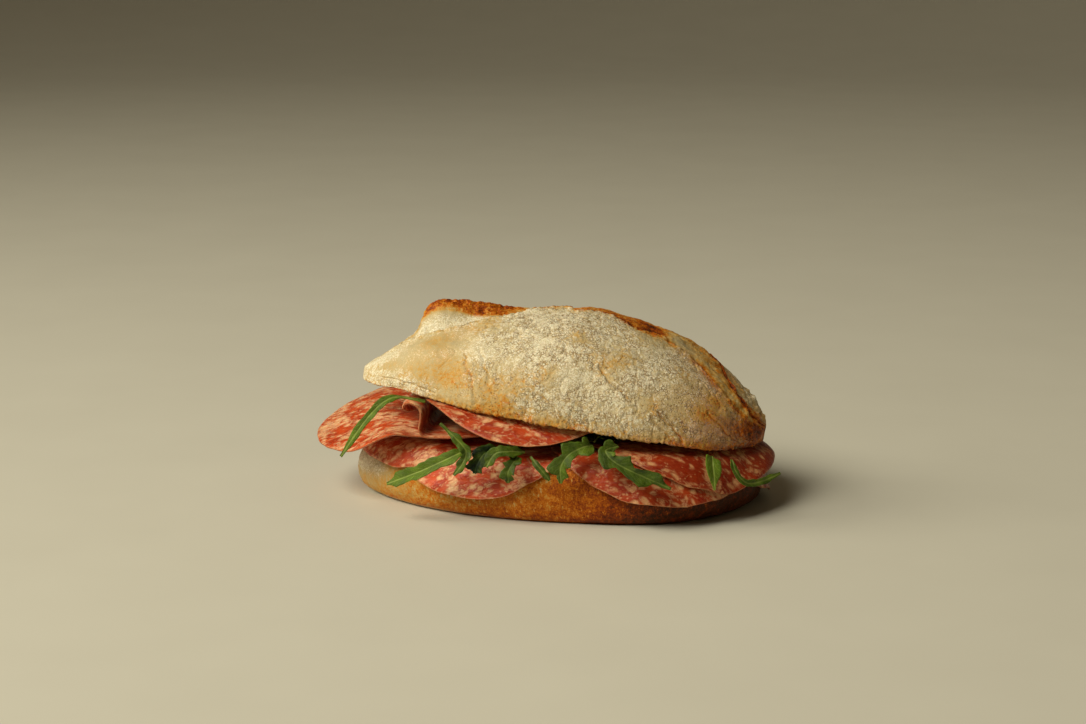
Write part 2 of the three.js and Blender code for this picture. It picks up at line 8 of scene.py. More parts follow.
import bpy
import numpy as np
from mathutils import Euler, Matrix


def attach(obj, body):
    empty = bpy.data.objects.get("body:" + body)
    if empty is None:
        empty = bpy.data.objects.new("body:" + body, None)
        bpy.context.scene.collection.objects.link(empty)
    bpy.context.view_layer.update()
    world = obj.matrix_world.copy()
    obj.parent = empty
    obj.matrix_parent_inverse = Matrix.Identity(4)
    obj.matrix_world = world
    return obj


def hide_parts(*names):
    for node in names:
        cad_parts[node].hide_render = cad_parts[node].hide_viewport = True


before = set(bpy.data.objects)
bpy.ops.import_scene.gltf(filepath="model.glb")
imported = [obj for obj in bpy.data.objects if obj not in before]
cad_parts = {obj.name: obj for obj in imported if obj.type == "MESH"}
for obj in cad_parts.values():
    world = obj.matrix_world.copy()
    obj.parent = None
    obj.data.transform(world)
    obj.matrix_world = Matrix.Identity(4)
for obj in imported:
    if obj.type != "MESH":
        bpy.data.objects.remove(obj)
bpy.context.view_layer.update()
print("nodes in the frame:", len(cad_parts))

# %% [markdown]
# ## Camera
# The roll was photographed from a little above table height with a long lens, its right end turned
# slightly towards the camera. A long lens keeps the roll's two ends almost the same size, so the
# camera stands a metre away and looks down by about 12 degrees.

# %% Camera
camera_data = bpy.data.cameras.new("camera")
camera_data.lens = 88.14
camera_data.sensor_width = 36
camera = bpy.data.objects.new("camera", camera_data)
camera.location = (0.1347, -1.0010, 0.2697)
camera.rotation_euler = Euler((np.radians(77.9), 0, np.radians(8)))
bpy.context.scene.collection.objects.link(camera)
bpy.context.scene.camera = camera
print("camera height in mm:", round(camera.location.z * 1000))

# %% [markdown]
# ## Numbers in arrays
# Bread, meat and leaves have no straight edges. They could be sculpted by hand, but then nobody could
# read or change their sizes later. Here their points are worked out in arrays, thousands at a time,
# with four small tools: a soft step between two values, a bell round a place, a smooth curve through a
# few stations, and the path that a strip follows when it is bent.

# %% Steps and bells
def soft_step(value, low, high):
    """0 below `low`, 1 above `high`, and a smooth slope between."""
    part = np.clip((value - low) / (high - low), 0, 1)
    return part * part * (3 - 2 * part)


def bell(gap, width):
    """1 where the gap is 0, fading away over about twice the width."""
    return np.exp(-((gap / width) ** 2))


print("a soft step and a bell, a quarter of the way:", soft_step(0.25, 0, 1), round(float(bell(0.25, 1)), 3))

# %% Smooth curves and bent paths
def track(stations):
    """A smooth curve through stations given as [place, value]."""
    place, value = np.array(stations, float).T
    chord = np.diff(value) / np.diff(place)
    slope = np.concatenate([chord[:1], (chord[1:] + chord[:-1]) / 2, chord[-1:]])

    def at(where):
        p = np.clip(where, place[0], place[-1])
        i = np.clip(np.searchsorted(place, p, side="right") - 1, 0, len(place) - 2)
        step = place[i + 1] - place[i]
        t = (p - place[i]) / step
        from_here = (2 * t**3 - 3 * t**2 + 1) * value[i] + (t**3 - 2 * t**2 + t) * step * slope[i]
        to_next = (3 * t**2 - 2 * t**3) * value[i + 1] + (t**3 - t**2) * step * slope[i + 1]
        return from_here + to_next

    return at


def bent_path(start, heading, stretches):
    """A path of straight and round stretches, each [length, turn in degrees]."""
    lengths = np.array([length for length, _ in stretches], float)
    turns = np.radians([turn for _, turn in stretches])
    step = 0.05
    distance = np.arange(0, lengths.sum() + 30, step)
    knots = np.concatenate([[0], np.cumsum(lengths)])
    angle = np.interp(distance, knots, heading + np.concatenate([[0], np.cumsum(turns)]))
    middle = (angle[1:] + angle[:-1]) / 2
    across = start[0] + np.concatenate([[0], np.cumsum(np.cos(middle) * step)])
    up = start[1] + np.concatenate([[0], np.cumsum(np.sin(middle) * step)])
    return lambda walked: (np.interp(walked, distance, across), np.interp(walked, distance, up))


print("a path that turns up by 90 degrees ends at", *bent_path((0, 0), 0, [(10, 90)])(10.0))

# %% [markdown]
# ## Unevenness
# What makes food look real is that nothing repeats. Blender has texture modifiers for that, but they
# push every point the same way, and here the push differs from place to place, so the unevenness is
# worked out as numbers. Gradient noise gives soft lumps of a chosen size. Scattered cells give pores
# and plates: each point asks how far the nearest of many scattered seeds is. Both use a table drawn
# from a fixed seed, so that every run gives the same sandwich.

# %% Table of random numbers
dice = np.random.default_rng(11)
SHUFFLE = dice.permutation(256)
SLOPES = dice.normal(size=(256, 3))
SLOPES /= np.linalg.norm(SLOPES, axis=1, keepdims=True)
SEEDS = dice.random((256, 3))
print("first numbers drawn:", SHUFFLE[:6])

# %% Soft lumps
def cell_number(cell):
    """A number from 0 to 255 for each whole-number place."""
    first = SHUFFLE[cell[..., 0] & 255]
    second = SHUFFLE[(first + cell[..., 1]) & 255]
    return SHUFFLE[(second + cell[..., 2]) & 255]


def noise(points, size, seed=0):
    """Soft lumps about `size` wide, from about -1 to 1."""
    place = points / size + seed * 17.31
    cell = np.floor(place).astype(int)
    inside = place - cell
    fade = inside**3 * (inside * (inside * 6 - 15) + 10)
    total = np.zeros(len(points))
    for corner in np.ndindex(2, 2, 2):
        offset = np.array(corner)
        slope = SLOPES[cell_number(cell + offset)]
        weight = np.prod(np.where(offset == 1, fade, 1 - fade), axis=1)
        total += weight * np.sum((inside - offset) * slope, axis=1)
    return total * 1.7


def rough(points, size, layers=4, seed=0):
    """Noise of several sizes, each half as wide and half as strong as the one before."""
    return sum(noise(points, size / 2**k, seed + k) / 2**k for k in range(layers))


row = np.stack([np.linspace(0, 90, 500), np.zeros(500), np.zeros(500)], 1)
print("the lumps go from", round(float(noise(row, 5).min()), 2), "to", round(float(noise(row, 5).max()), 2))

# %% Scattered cells
def scattered(points, size, seed=0):
    """How far the two nearest scattered seeds are, in cells, and a number of the nearest one."""
    place = points / size + seed * 9.7
    cell = np.floor(place).astype(int)
    first, second = np.full(len(points), 9.0), np.full(len(points), 9.0)
    owner = np.zeros(len(points))
    for step in np.ndindex(3, 3, 3):
        here = cell + np.array(step) - 1
        number = cell_number(here)
        gap = np.linalg.norm(here + SEEDS[number] - place, axis=1)
        nearer = gap < first
        owner = np.where(nearer, number / 255, owner)
        second = np.where(nearer, first, np.minimum(second, gap))
        first = np.minimum(first, gap)
    return first, second, owner


print("mean gap to the nearest seed, in cells:", round(float(scattered(row, 5)[0].mean()), 2))

# %% [markdown]
# ## Making meshes
# Most pieces are grids: rings along the bread, or rings round the middle of a slice. Boxes with a
# subdivision modifier would also give round shapes, but a grid of four-sided faces says exactly where
# every point lies, shades smoothly, and is easy to push in and out along its normals. A closed row of
# points is shut by a fan of triangles.

# %% Mesh helpers
def grid_faces(rows, columns, wraps):
    """Four-sided faces of a grid of points; `wraps` joins its last column to its first."""
    row, column = np.meshgrid(np.arange(rows - 1), np.arange(columns - (not wraps)), indexing="ij")
    here = row * columns + column
    beside = row * columns + (column + 1) % columns
    return np.stack([here, beside, beside + columns, here + columns], -1).reshape(-1, 4)


def fan(first, count, hub, flipped=False):
    """Triangles from a closed row of points to the point numbered `hub`."""
    here = first + np.arange(count)
    beside = first + (np.arange(count) + 1) % count
    return np.stack([np.full(count, hub), *((beside, here) if flipped else (here, beside))], 1)


def normals_of(points, quads):
    """Unit normals at the points of a mesh of four-sided faces."""
    corner = points[quads]
    flat = np.cross(corner[:, 2] - corner[:, 0], corner[:, 3] - corner[:, 1])
    total = np.zeros_like(points)
    for k in range(4):
        for axis in range(3):
            total[:, axis] += np.bincount(quads[:, k], flat[:, axis], len(points))
    return total / np.maximum(np.linalg.norm(total, axis=1, keepdims=True), 1e-12)


print("faces of a grid of 3 by 4 points:", len(grid_faces(3, 4, False)))

# %% Making a piece
def add_piece(name, points, quads, triangles=(), values=None):
    """A smooth mesh object from points in millimetres, with named values kept at its points."""
    mesh = bpy.data.meshes.new(name)
    faces = [*np.asarray(quads).tolist(), *np.asarray(triangles).tolist()]
    mesh.from_pydata((points * 0.001).tolist(), [], faces)
    mesh.shade_smooth()
    for key, numbers in (values or {}).items():
        numbers = np.asarray(numbers, np.float32)
        kind, field = ("FLOAT_VECTOR", "vector") if numbers.ndim == 2 else ("FLOAT", "value")
        mesh.attributes.new(key, kind, "POINT").data.foreach_set(field, numbers.ravel())
    piece = bpy.data.objects.new(name, mesh)
    bpy.context.scene.collection.objects.link(piece)
    return piece


def settle(piece, node, material):
    """Gives the piece its material, hides the solid that it stands for, and hangs it under the root body."""
    piece.data.materials.append(material)
    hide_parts(node)
    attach(piece, "root")
    print(f"{piece.name}: {len(piece.data.polygons)} faces")
    return piece


# %% [markdown]
# ## The roll's outline
# Seen from above the roll is longer and more pointed at its left end and blunt at its right end. It
# could be drawn as a curve with handles, but both halves, the edge of the cut and the place where
# slices start to hang over all need the same line at different insets. One formula gives them all.

# %% Outline of the roll
def outline(angle, inset):
    """A point of the outline moved inwards by `inset`, as x and y."""
    along = np.cos(angle)
    right = along > 0
    power = np.where(right, 3.0, 2.4)
    fullness = np.where(right, 0.65, 0.75)
    reach = np.where(right, 65.0, 95.0) - inset * 1.45
    width = (45.5 - inset) * np.maximum(0, 1 - np.abs(along) ** power) ** fullness
    return 15 + along * reach, np.sign(np.sin(angle)) * width


CUT = 23  # height of the bottom half's cut in the middle of the roll


def cut_height(x):
    """Height of the bottom half's cut, which sinks towards both ends."""
    sink = np.where(x > 0, 3.4, 1.6)
    return CUT - sink * np.abs(x / 80) ** 3


def lumps(x, y, z):
    """The broad unevenness that both bread halves have."""
    long = np.sin(0.11 * x + 0.07 * y + 1.3) * np.cos(0.09 * z - 0.05 * x + 0.6)
    short = np.sin(0.23 * x - 0.19 * z + 2.1) * np.sin(0.27 * y + 0.13 * z + 0.4)
    return 0.6 * long + 0.4 * short


print("the roll is", outline(np.zeros(1), 0)[0][0] - outline(np.full(1, np.pi), 0)[0][0], "mm long")

# %% [markdown]
# ## Material tools
# A material is a small network of nodes. Wiring it by hand in the editor is a good way to try things
# out, but hard to read back. These helpers place one node each, so that the recipes further down read
# like a list: noise of a size in millimetres, a soft threshold, a mix of two colours. All coordinates
# are the object's own, so that patterns stay on the food when the camera moves.

# %% Material helpers
class Recipe:
    """A material under construction."""

    def __init__(self, name):
        self.material = bpy.data.materials.new(name)
        self.material.use_nodes = True
        self.tree = self.material.node_tree
        self.shader = self.tree.nodes["Principled BSDF"]

    def node(self, kind, settings, inputs):
        """Places a node, sets its options and fills its inputs with numbers or other outputs."""
        node = self.tree.nodes.new(kind)
        for option, value in settings.items():
            setattr(node, option, value)
        for socket, value in inputs.items():
            self.connect(value, node.inputs[socket])
        return node

    def connect(self, value, socket):
        """Links an output to the socket, or sets the socket's own value."""
        if isinstance(value, bpy.types.NodeSocket):
            self.tree.links.new(value, socket)
        else:
            socket.default_value = value

    def place(self):
        """The object's own coordinates in millimetres."""
        corner = self.tree.nodes.new("ShaderNodeTexCoord").outputs["Object"]
        scaled = self.node("ShaderNodeVectorMath", {"operation": "SCALE"}, {0: corner, "Scale": 1000.0})
        return scaled.outputs[0]

    def kept(self, name, output="Fac"):
        """Values that were kept at the mesh's points."""
        return self.node("ShaderNodeAttribute", {"attribute_name": name}, {}).outputs[output]

    def noise(self, place, size, detail=3.0, roughness=0.55, warp=0.0):
        """Noise from 0 to 1 with lumps about `size` mm wide."""
        inputs = {"Vector": place, "Scale": 1 / size, "Detail": detail, "Roughness": roughness,
                  "Distortion": warp}
        return self.node("ShaderNodeTexNoise", {}, inputs).outputs["Fac"]

    def warped(self, place, size, amount):
        """The place, moved about by noise, so that cells lose their straight sides."""
        shift = self.node("ShaderNodeTexNoise", {}, {"Vector": place, "Scale": 1 / size}).outputs["Color"]
        centred = self.node("ShaderNodeVectorMath", {"operation": "SUBTRACT"}, {0: shift, 1: (0.5, 0.5, 0.5)})
        moved = self.node("ShaderNodeVectorMath", {"operation": "MULTIPLY_ADD"},
                          {0: centred.outputs[0], 1: (amount, amount, amount), 2: place})
        return moved.outputs[0]

    def cells(self, place, size, feature="F1", output="Distance"):
        """Scattered cells about `size` mm wide."""
        node = self.node("ShaderNodeTexVoronoi", {"feature": feature}, {"Vector": place, "Scale": 1 / size})
        return node.outputs[output]

    def maths(self, operation, first, *others, clamp=False):
        """A sum of values taken one after another, such as ADD or MULTIPLY."""
        settings = {"operation": operation, "use_clamp": clamp}
        for other in others or (0.0,):
            first = self.node("ShaderNodeMath", settings, {0: first, 1: other}).outputs[0]
        return first

    def stretched(self, place, amounts):
        """The place, with each axis made longer or shorter."""
        return self.node("ShaderNodeVectorMath", {"operation": "MULTIPLY"}, {0: place, 1: amounts}).outputs[0]

    def soft(self, value, low, high, start=0.0, end=1.0):
        """A soft step from `start` to `end` as the value goes from `low` to `high`."""
        inputs = {"Value": value, "From Min": low, "From Max": high, "To Min": start, "To Max": end}
        return self.node("ShaderNodeMapRange", {"interpolation_type": "SMOOTHSTEP"}, inputs).outputs[0]

    def mix(self, amount, first, second):
        """A mix of two colours."""
        inputs = {0: amount, 6: first, 7: second}
        return self.node("ShaderNodeMix", {"data_type": "RGBA"}, inputs).outputs[2]

    def ramp(self, value, stops):
        """Colours along a scale, as (place, colour)."""
        node = self.node("ShaderNodeValToRGB", {}, {0: value})
        ramp = node.color_ramp
        while len(ramp.elements) < len(stops):
            ramp.elements.new(0.5)
        for element, (spot, colour) in zip(ramp.elements, stops):
            element.position = spot
            element.color = (*colour, 1)
        return node.outputs[0]

    def bump(self, height, depth, under=None):
        """Fine relief, `depth` mm deep, on top of other relief."""
        inputs = {"Height": height, "Distance": depth * 0.001}
        if under is not None:
            inputs["Normal"] = under
        return self.node("ShaderNodeBump", {}, inputs).outputs[0]

    def finish(self, **inputs):
        """Fills the shader's inputs and returns the material."""
        for name, value in inputs.items():
            self.connect(value, self.shader.inputs[name.replace("_", " ")])
        print(f"{self.material.name}: {len(self.tree.nodes)} nodes")
        return self.material


# %% [markdown]
# ## Crust and crumb
# The crust runs from cream through gold to dark brown where the oven caught it. White flour was
# dusted on before baking, and it cracked into small plates as the dough swelled, with golden crust in
# the cracks. The crumb inside is cream and full of pores, and the pores are painted darker as painted
# shade. All this could be painted as an image, but an image has a fixed sharpness and must be
# unwrapped. So each mesh keeps four values at its points, how toasted, floured, crazed and how much
# crumb, and this recipe turns them into colour and adds the finest grain itself. In places the
# toasted value also carries painted light and painted shade.

# %% Colours of bread
CRUST_COLOURS = [  # from cream to burnt, as (toast, colour)
    (0.00, (0.53, 0.44, 0.26)),
    (0.20, (0.52, 0.385, 0.175)),
    (0.38, (0.56, 0.30, 0.055)),
    (0.54, (0.54, 0.145, 0.003)),
    (0.76, (0.25, 0.038, 0.002)),
    (1.00, (0.05, 0.014, 0.003)),
]
FLOUR_THIN, FLOUR_THICK = (0.54, 0.44, 0.25, 1), (0.90, 0.82, 0.61, 1)
CRACK_GOLDEN, CRACK_BROWN = (0.33, 0.19, 0.06, 1), (0.12, 0.034, 0.005, 1)
# The pores' colour is painted shade.
PORE_SHADE, CRUMB_TONE = (0.46, 0.30, 0.12, 1), (0.82, 0.70, 0.45, 1)
print("crust colours from cream to burnt:", len(CRUST_COLOURS))


# %% Crust material
def crust_material(name, plate_size, streaks, blotches):
    """Crust with plates of flour, golden streaks and uneven toasting, and crumb where it is cut."""
    recipe = Recipe(name)
    place = recipe.place()
    grain = recipe.noise(place, 0.55, 3.0, 0.75)
    speck = recipe.noise(place, 1.7, 4.0, 0.7)
    mottle = recipe.noise(place, 6.5, 5.0, 0.62, 0.5)

    # The kept toast value also carries painted light and painted shade in places.
    toasted = recipe.kept("toast_and_shade")
    uneven = recipe.maths(
        "ADD", recipe.soft(mottle, 0.25, 0.75, -0.10, 0.10), recipe.soft(speck, 0.25, 0.75, -0.16, 0.16),
        recipe.soft(grain, 0.25, 0.75, -0.15, 0.15))
    uneven = recipe.maths("MULTIPLY", uneven, recipe.soft(toasted, 0.1, 0.7, 0.45, blotches))
    upright = recipe.noise(recipe.stretched(place, (1.0, 1.0, 0.4)), 0.9, 3.0, 0.65)
    golden = recipe.soft(upright, 0.55, 0.70, 0.0, streaks)
    toast_and_shade = recipe.maths("SUBTRACT", recipe.maths("ADD", toasted, uneven), golden, clamp=True)

    dusting = recipe.maths(
        "ADD", recipe.kept("flour"), recipe.soft(speck, 0.25, 0.75, -0.20, 0.20),
        recipe.soft(mottle, 0.3, 0.7, -0.10, 0.10), recipe.soft(grain, 0.3, 0.7, -0.26, 0.26))
    flour = recipe.maths("MULTIPLY", recipe.soft(dusting, 0.08, 0.85), recipe.soft(toast_and_shade, 0.5, 0.8, 1.0, 0.3))
    white = recipe.mix(recipe.soft(grain, 0.3, 0.7), FLOUR_THIN, FLOUR_THICK)
    dusted = recipe.mix(flour, recipe.ramp(toast_and_shade, CRUST_COLOURS), white)

    jagged = recipe.warped(recipe.warped(place, 2.4, 1.6), 0.7, 0.5)
    net = recipe.soft(recipe.cells(jagged, plate_size, "DISTANCE_TO_EDGE"), 0.01, 0.12, 1.0, 0.0)
    present = recipe.maths("MULTIPLY", recipe.soft(recipe.noise(place, 2.8, 3.0, 0.6), 0.36, 0.58),
                           recipe.kept("crazed"))
    cracks = recipe.maths("MULTIPLY", net, present, recipe.soft(flour, 0.15, 0.6), 0.85)
    pits = recipe.soft(recipe.cells(recipe.warped(place, 1.0, 0.8), 0.95), 0.16, 0.42, 0.75, 0.0)
    marks = recipe.maths("MAXIMUM", cracks, recipe.maths("MULTIPLY", pits, present))
    outside = recipe.mix(marks, dusted, recipe.mix(recipe.soft(toast_and_shade, 0.1, 0.7), CRACK_GOLDEN, CRACK_BROWN))

    crumb = recipe.kept("crumb")
    # Painted shade: pores in the crumb are coloured darker than the crumb around them.
    pore = recipe.soft(recipe.cells(recipe.warped(place, 3.0, 1.6), 2.6), 0.1, 0.55)
    colour = recipe.mix(crumb, outside, recipe.mix(pore, PORE_SHADE, CRUMB_TONE))

    relief = recipe.bump(speck, 0.32)
    relief = recipe.bump(grain, 0.14, relief)
    relief = recipe.bump(marks, -0.22, relief)
    relief = recipe.bump(recipe.maths("MULTIPLY", pore, crumb), 0.8, relief)
    gloss = recipe.soft(recipe.maths("ADD", flour, crumb, clamp=True), 0.0, 0.7, 0.5, 0.93)
    return recipe.finish(Base_Color=colour, Roughness=gloss, Normal=relief, Specular_IOR_Level=0.15,
                         Subsurface_Weight=0.05, Subsurface_Radius=(1.0, 0.5, 0.25), Subsurface_Scale=0.001)


crust = crust_material("crust", plate_size=1.9, streaks=0.26, blotches=0.85)
floured_crust = crust_material("floured_crust", plate_size=1.3, streaks=0.06, blotches=1.25)

# %% [markdown]
# ## Salami
# A slice is fine red meat with cream grains of fat, from specks to grains a few millimetres long, and
# a thin pale skin round its edge. The grains could be small meshes, but they lie flush in the cut, so
# a pattern does as well. It is drawn in the slice's own flat coordinates, so that it bends with the
# slice and no two slices match. Salami is moist: it is fairly glossy, and light goes a little way in.

# %% Salami material
MEAT_DARK, MEAT_RED, MEAT_FIBRE = (0.30, 0.012, 0.003, 1), (0.60, 0.068, 0.010, 1), (0.70, 0.15, 0.030, 1)
# Darker meat and fat for slices painted into shade.
MEAT_IN_PAINTED_SHADE, FAT_IN_PAINTED_SHADE = (0.17, 0.012, 0.002, 1), (0.50, 0.17, 0.035, 1)
FAT_ROSY, FAT_CREAM, SKIN_TONE = (0.74, 0.33, 0.12, 1), (0.90, 0.64, 0.36, 1), (0.66, 0.27, 0.10, 1)


def salami_material():
    """Red meat with large, small and streaky grains of fat; `lean` slices are painted darker, as painted
    shade, with a little less fat.
    """
    recipe = Recipe("salami")
    flat = recipe.kept("flat", "Vector")
    lean = recipe.kept("lean")
    longer = recipe.stretched(flat, (0.6, 1.0, 1.0))
    place = recipe.warped(recipe.warped(longer, 7.0, 4.0), 1.8, 1.5)
    fibre = recipe.noise(place, 0.8, 4.0, 0.7)
    patchy = recipe.maths("ADD", recipe.soft(recipe.noise(flat, 9.0, 3.0), 0.3, 0.7, -0.10, 0.10),
                          recipe.maths("MULTIPLY", lean, 0.03))

    large = recipe.maths("ADD", recipe.cells(place, 3.1), patchy)
    small = recipe.maths("ADD", recipe.cells(recipe.warped(longer, 2.2, 1.8), 1.5), patchy)
    streak = recipe.maths("SUBTRACT", recipe.noise(place, 2.4, 6.0, 0.68, 1.0), patchy)
    fat = recipe.maths("MAXIMUM", recipe.soft(large, 0.15, 0.50, 1.0, 0.0),
                       recipe.soft(small, 0.12, 0.40, 0.6, 0.0), recipe.soft(streak, 0.48, 0.66, 0.0, 0.85))
    fat = recipe.maths("MULTIPLY", fat, recipe.soft(fibre, 0.2, 0.65, 0.6, 1.0))

    depth = recipe.noise(place, 4.5, 4.0, 0.6)
    meat = recipe.mix(recipe.soft(depth, 0.3, 0.7), MEAT_DARK, MEAT_RED)
    meat = recipe.mix(recipe.soft(fibre, 0.35, 0.8, 0.0, 0.45), meat, MEAT_FIBRE)
    # Painted shade: `lean` darkens the meat and the fat.
    meat = recipe.mix(recipe.maths("MULTIPLY", lean, 0.72), meat, MEAT_IN_PAINTED_SHADE)
    cream = recipe.mix(recipe.maths("MULTIPLY", lean, 0.55), recipe.mix(fibre, FAT_ROSY, FAT_CREAM), FAT_IN_PAINTED_SHADE)
    skin = recipe.soft(recipe.kept("edge"), 0.05, 0.5, 0.45, 0.0)
    colour = recipe.mix(skin, recipe.mix(fat, meat, cream), SKIN_TONE)

    relief = recipe.bump(fat, 0.12)
    relief = recipe.bump(fibre, 0.12, relief)
    relief = recipe.bump(depth, 0.8, relief)
    gloss = recipe.soft(fibre, 0.3, 0.75, 0.26, 0.48)
    return recipe.finish(Base_Color=colour, Roughness=gloss, Normal=relief, Specular_IOR_Level=0.28,
                         Subsurface_Weight=0.2, Subsurface_Radius=(1.0, 0.3, 0.1), Subsurface_Scale=0.0012,
                         Coat_Weight=0.03, Coat_Roughness=0.2)


salami = salami_material()

# %% [markdown]
# ## Rocket
# Rocket is mid to dark green with a pale midrib and thin side veins that leave it at a slant. Leaves
# are often made as a flat card with a photo of a leaf, which looks thin from the side. Here a leaf is
# a real mesh that keeps at its points how far along and across it they are, in millimetres, and how
# light it is. The veins follow from those, and the blade between them is slightly puffed.

# %% Rocket material
BLADE_DEEP, BLADE_FRESH = (0.003, 0.009, 0.001, 1), (0.145, 0.23, 0.012, 1)
VEIN_DEEP, VEIN_FRESH = (0.012, 0.028, 0.002, 1), (0.34, 0.42, 0.08, 1)


def leaf_material():
    """Green blade with a midrib, slanting side veins and a fine net."""
    recipe = Recipe("leaf")
    flat = recipe.kept("flat", "Vector")
    split = recipe.node("ShaderNodeSeparateXYZ", {}, {0: flat})
    along, side = split.outputs[0], recipe.maths("ABSOLUTE", split.outputs[1])
    rib = recipe.soft(side, 0.12, 0.55, 1.0, 0.0)
    wander = recipe.soft(recipe.noise(flat, 3.0), 0.2, 0.8, -0.9, 0.9)
    slant = recipe.maths("ADD", recipe.maths("SUBTRACT", along, recipe.maths("MULTIPLY", side, 1.2)), wander)
    vein = recipe.soft(recipe.maths("PINGPONG", slant, 1.25), 0.0, 0.22, 0.6, 0.0)
    small = recipe.cells(recipe.warped(flat, 0.8, 0.4), 0.9, "DISTANCE_TO_EDGE")
    veins = recipe.maths("MAXIMUM", rib, vein, recipe.soft(small, 0.0, 0.09, 0.3, 0.0))

    patches = recipe.soft(recipe.noise(flat, 4.0, 3.0), 0.2, 0.8, -0.22, 0.22)
    tone = recipe.maths("ADD", recipe.kept("light"), patches, clamp=True)
    blade, vein = recipe.mix(tone, BLADE_DEEP, BLADE_FRESH), recipe.mix(tone, VEIN_DEEP, VEIN_FRESH)
    colour = recipe.mix(veins, blade, vein)
    relief = recipe.bump(veins, -0.14)
    relief = recipe.bump(recipe.noise(flat, 1.1, 3.0), 0.16, relief)
    gloss = recipe.soft(recipe.noise(flat, 2.0), 0.3, 0.7, 0.36, 0.52)
    return recipe.finish(Base_Color=colour, Roughness=gloss, Normal=relief, Specular_IOR_Level=0.16,
                         Subsurface_Weight=0.18, Subsurface_Radius=(0.4, 1.0, 0.15), Subsurface_Scale=0.0008)


rocket = leaf_material()

# %% [markdown]
# ## The bottom half
# The bottom half lies on its flat base and is open crumb on top. It could be a box, rounded off and
# sculpted. A loft is nearer to how the roll really is: the outline is drawn again and again, inset a
# little more at each level, from the base up the side and in over the edge of the cut. Its crust is
# golden, redder and darker towards the right end, with flour left at its foot and at the left end. The
# darkening towards the right end is partly toasting and partly painted shade, and the left end is
# painted lighter as painted light.

# %% Shape of the bottom half
LEVELS = [(5, 0), (2.4, 1.6), (0.8, 5), (0, 10), (0.6, 14.5), (2, 18.6), (3.6, 21), (6, 22.4), (10, 22.8),
          (18, 21.8), (31, 21.2)]  # inset and height
EDGE = 8  # the level where the cut begins
AROUND = 620  # points round the roll


def bottom_profile(count):
    """Inset and height at evenly spaced places along the side's profile."""
    inset, height = np.array(LEVELS, float).T
    walked = np.concatenate([[0], np.cumsum(np.hypot(np.diff(inset), np.diff(height)))])
    at = np.concatenate([np.linspace(0, walked[EDGE], count), np.linspace(walked[EDGE], walked[-1], 30)[1:]])
    return track(np.stack([walked, inset], 1))(at), track(np.stack([walked, height], 1))(at)


def bottom_half():
    """Points and faces, with the inset and the height that each point comes from."""
    insets, heights = bottom_profile(66)
    insets = np.concatenate([np.linspace(40, 6.5, 12), insets])
    heights = np.concatenate([np.zeros(12), heights])
    around = -np.pi + np.arange(AROUND) / AROUND * 2 * np.pi
    angle, inset = np.meshgrid(around, insets)
    height = np.meshgrid(around, heights)[1]
    x, y = outline(angle, inset)
    z = height * cut_height(x) / CUT
    bump = soft_step(height, 0, 10) * 0.35 * lumps(x, y, z)
    points = np.stack([x * (1 + bump / 60), y * (1 + bump / 40), z], -1).reshape(-1, 3)
    return points, grid_faces(len(insets), AROUND, True), inset.ravel(), height.ravel()


points, quads, inset, height = bottom_half()
print("bottom half:", len(points), "points")

# %% Relief and colour of the bottom half
def bottom_relief(points, inset, height):
    """How far the crust and the crumb stand off the plain shape, and where the cut is."""
    cut = soft_step(height, 22.0, 22.7) * soft_step(inset, 6, 8)
    side = soft_step(height, 0.2, 3) * (1 - cut)
    skin = 0.30 * rough(points, 9, 4, 1) + 0.14 * rough(points, 1.8, 2, 5)
    gap, _, size = scattered(points, 3.4, 2)
    pore = -1.1 * soft_step(0.5 - gap, 0, 0.3) * soft_step(size, 0.3, 0.9)
    return side * skin + cut * (pore + 0.25 * rough(points, 4, 3, 8)), cut


def bottom_colour(points, cut):
    """Toast and flour at each point; the toast also holds painted light at the left end and painted shade at
    the right.
    """
    x, _, z = points.T
    patch = noise(points, 16, 3)
    # Painted light and shade: lighter towards the left end and darker towards the right, partly toasting and
    # partly the light falling from the left.
    toast_and_shade = 0.51 + 0.50 * soft_step(x, -10, 60) + 0.07 * patch + 0.13 * (1 - soft_step(z, 1, 7))
    toast_and_shade += 0.06 * soft_step(z, 16, 21) * (1 - cut) - 0.21 * (1 - soft_step(x, -78, -30))
    left_end = (1 - soft_step(x, -78, -56)) * (0.25 + 1.3 * soft_step(z, 5, 14))
    foot = (1 - soft_step(z, 0.6, 2.6)) * (1 - 0.9 * soft_step(x, -45, 10))
    flour = -0.34 + 0.12 * patch + left_end + 0.85 * foot - 0.30 * soft_step(x, 0, 60)
    flour += 0.30 * noise(points, 5, 13) * (1 - soft_step(x, -70, -45))
    return np.clip(toast_and_shade, 0, 1), np.clip(flour, -0.4, 1)


relief, cut = bottom_relief(points, inset, height)
points = points + normals_of(points, quads) * relief[:, None]
toast_and_shade, flour = bottom_colour(points, cut)
base, middle = len(points), len(points) + 1
fans = np.vstack([fan(0, AROUND, base, True), fan(base - AROUND, AROUND, middle)])
points = np.vstack([points, [[0, 0, 0], [15, 0, 21]]])
values = {"toast_and_shade": np.append(toast_and_shade, [0.6, 0]), "flour": np.append(flour, [0.3, 0]),
          "crumb": np.append(cut, [0, 1]), "crazed": 0.35 * (1 - soft_step(points[:, 0], -70, -52))}
settle(add_piece("bottom_half", points, quads, fans, values), "roll_bottom", crust)

# %% [markdown]
# ## The top half
# A knife scored the roll lengthwise before baking. In the oven the front flap opened away from the
# back, its edge stayed as a crisp lip, and the dough that swelled up between baked golden. At the left
# the back edge rose into an ear with a dark, toasted crest. A sculpted dome could have all this, but it
# would drift away from the solid. So the dome is a row of arched sections with the solid's own
# formulas, made finer. Angles run over each section, from 0 at the front edge to 180 at the back.

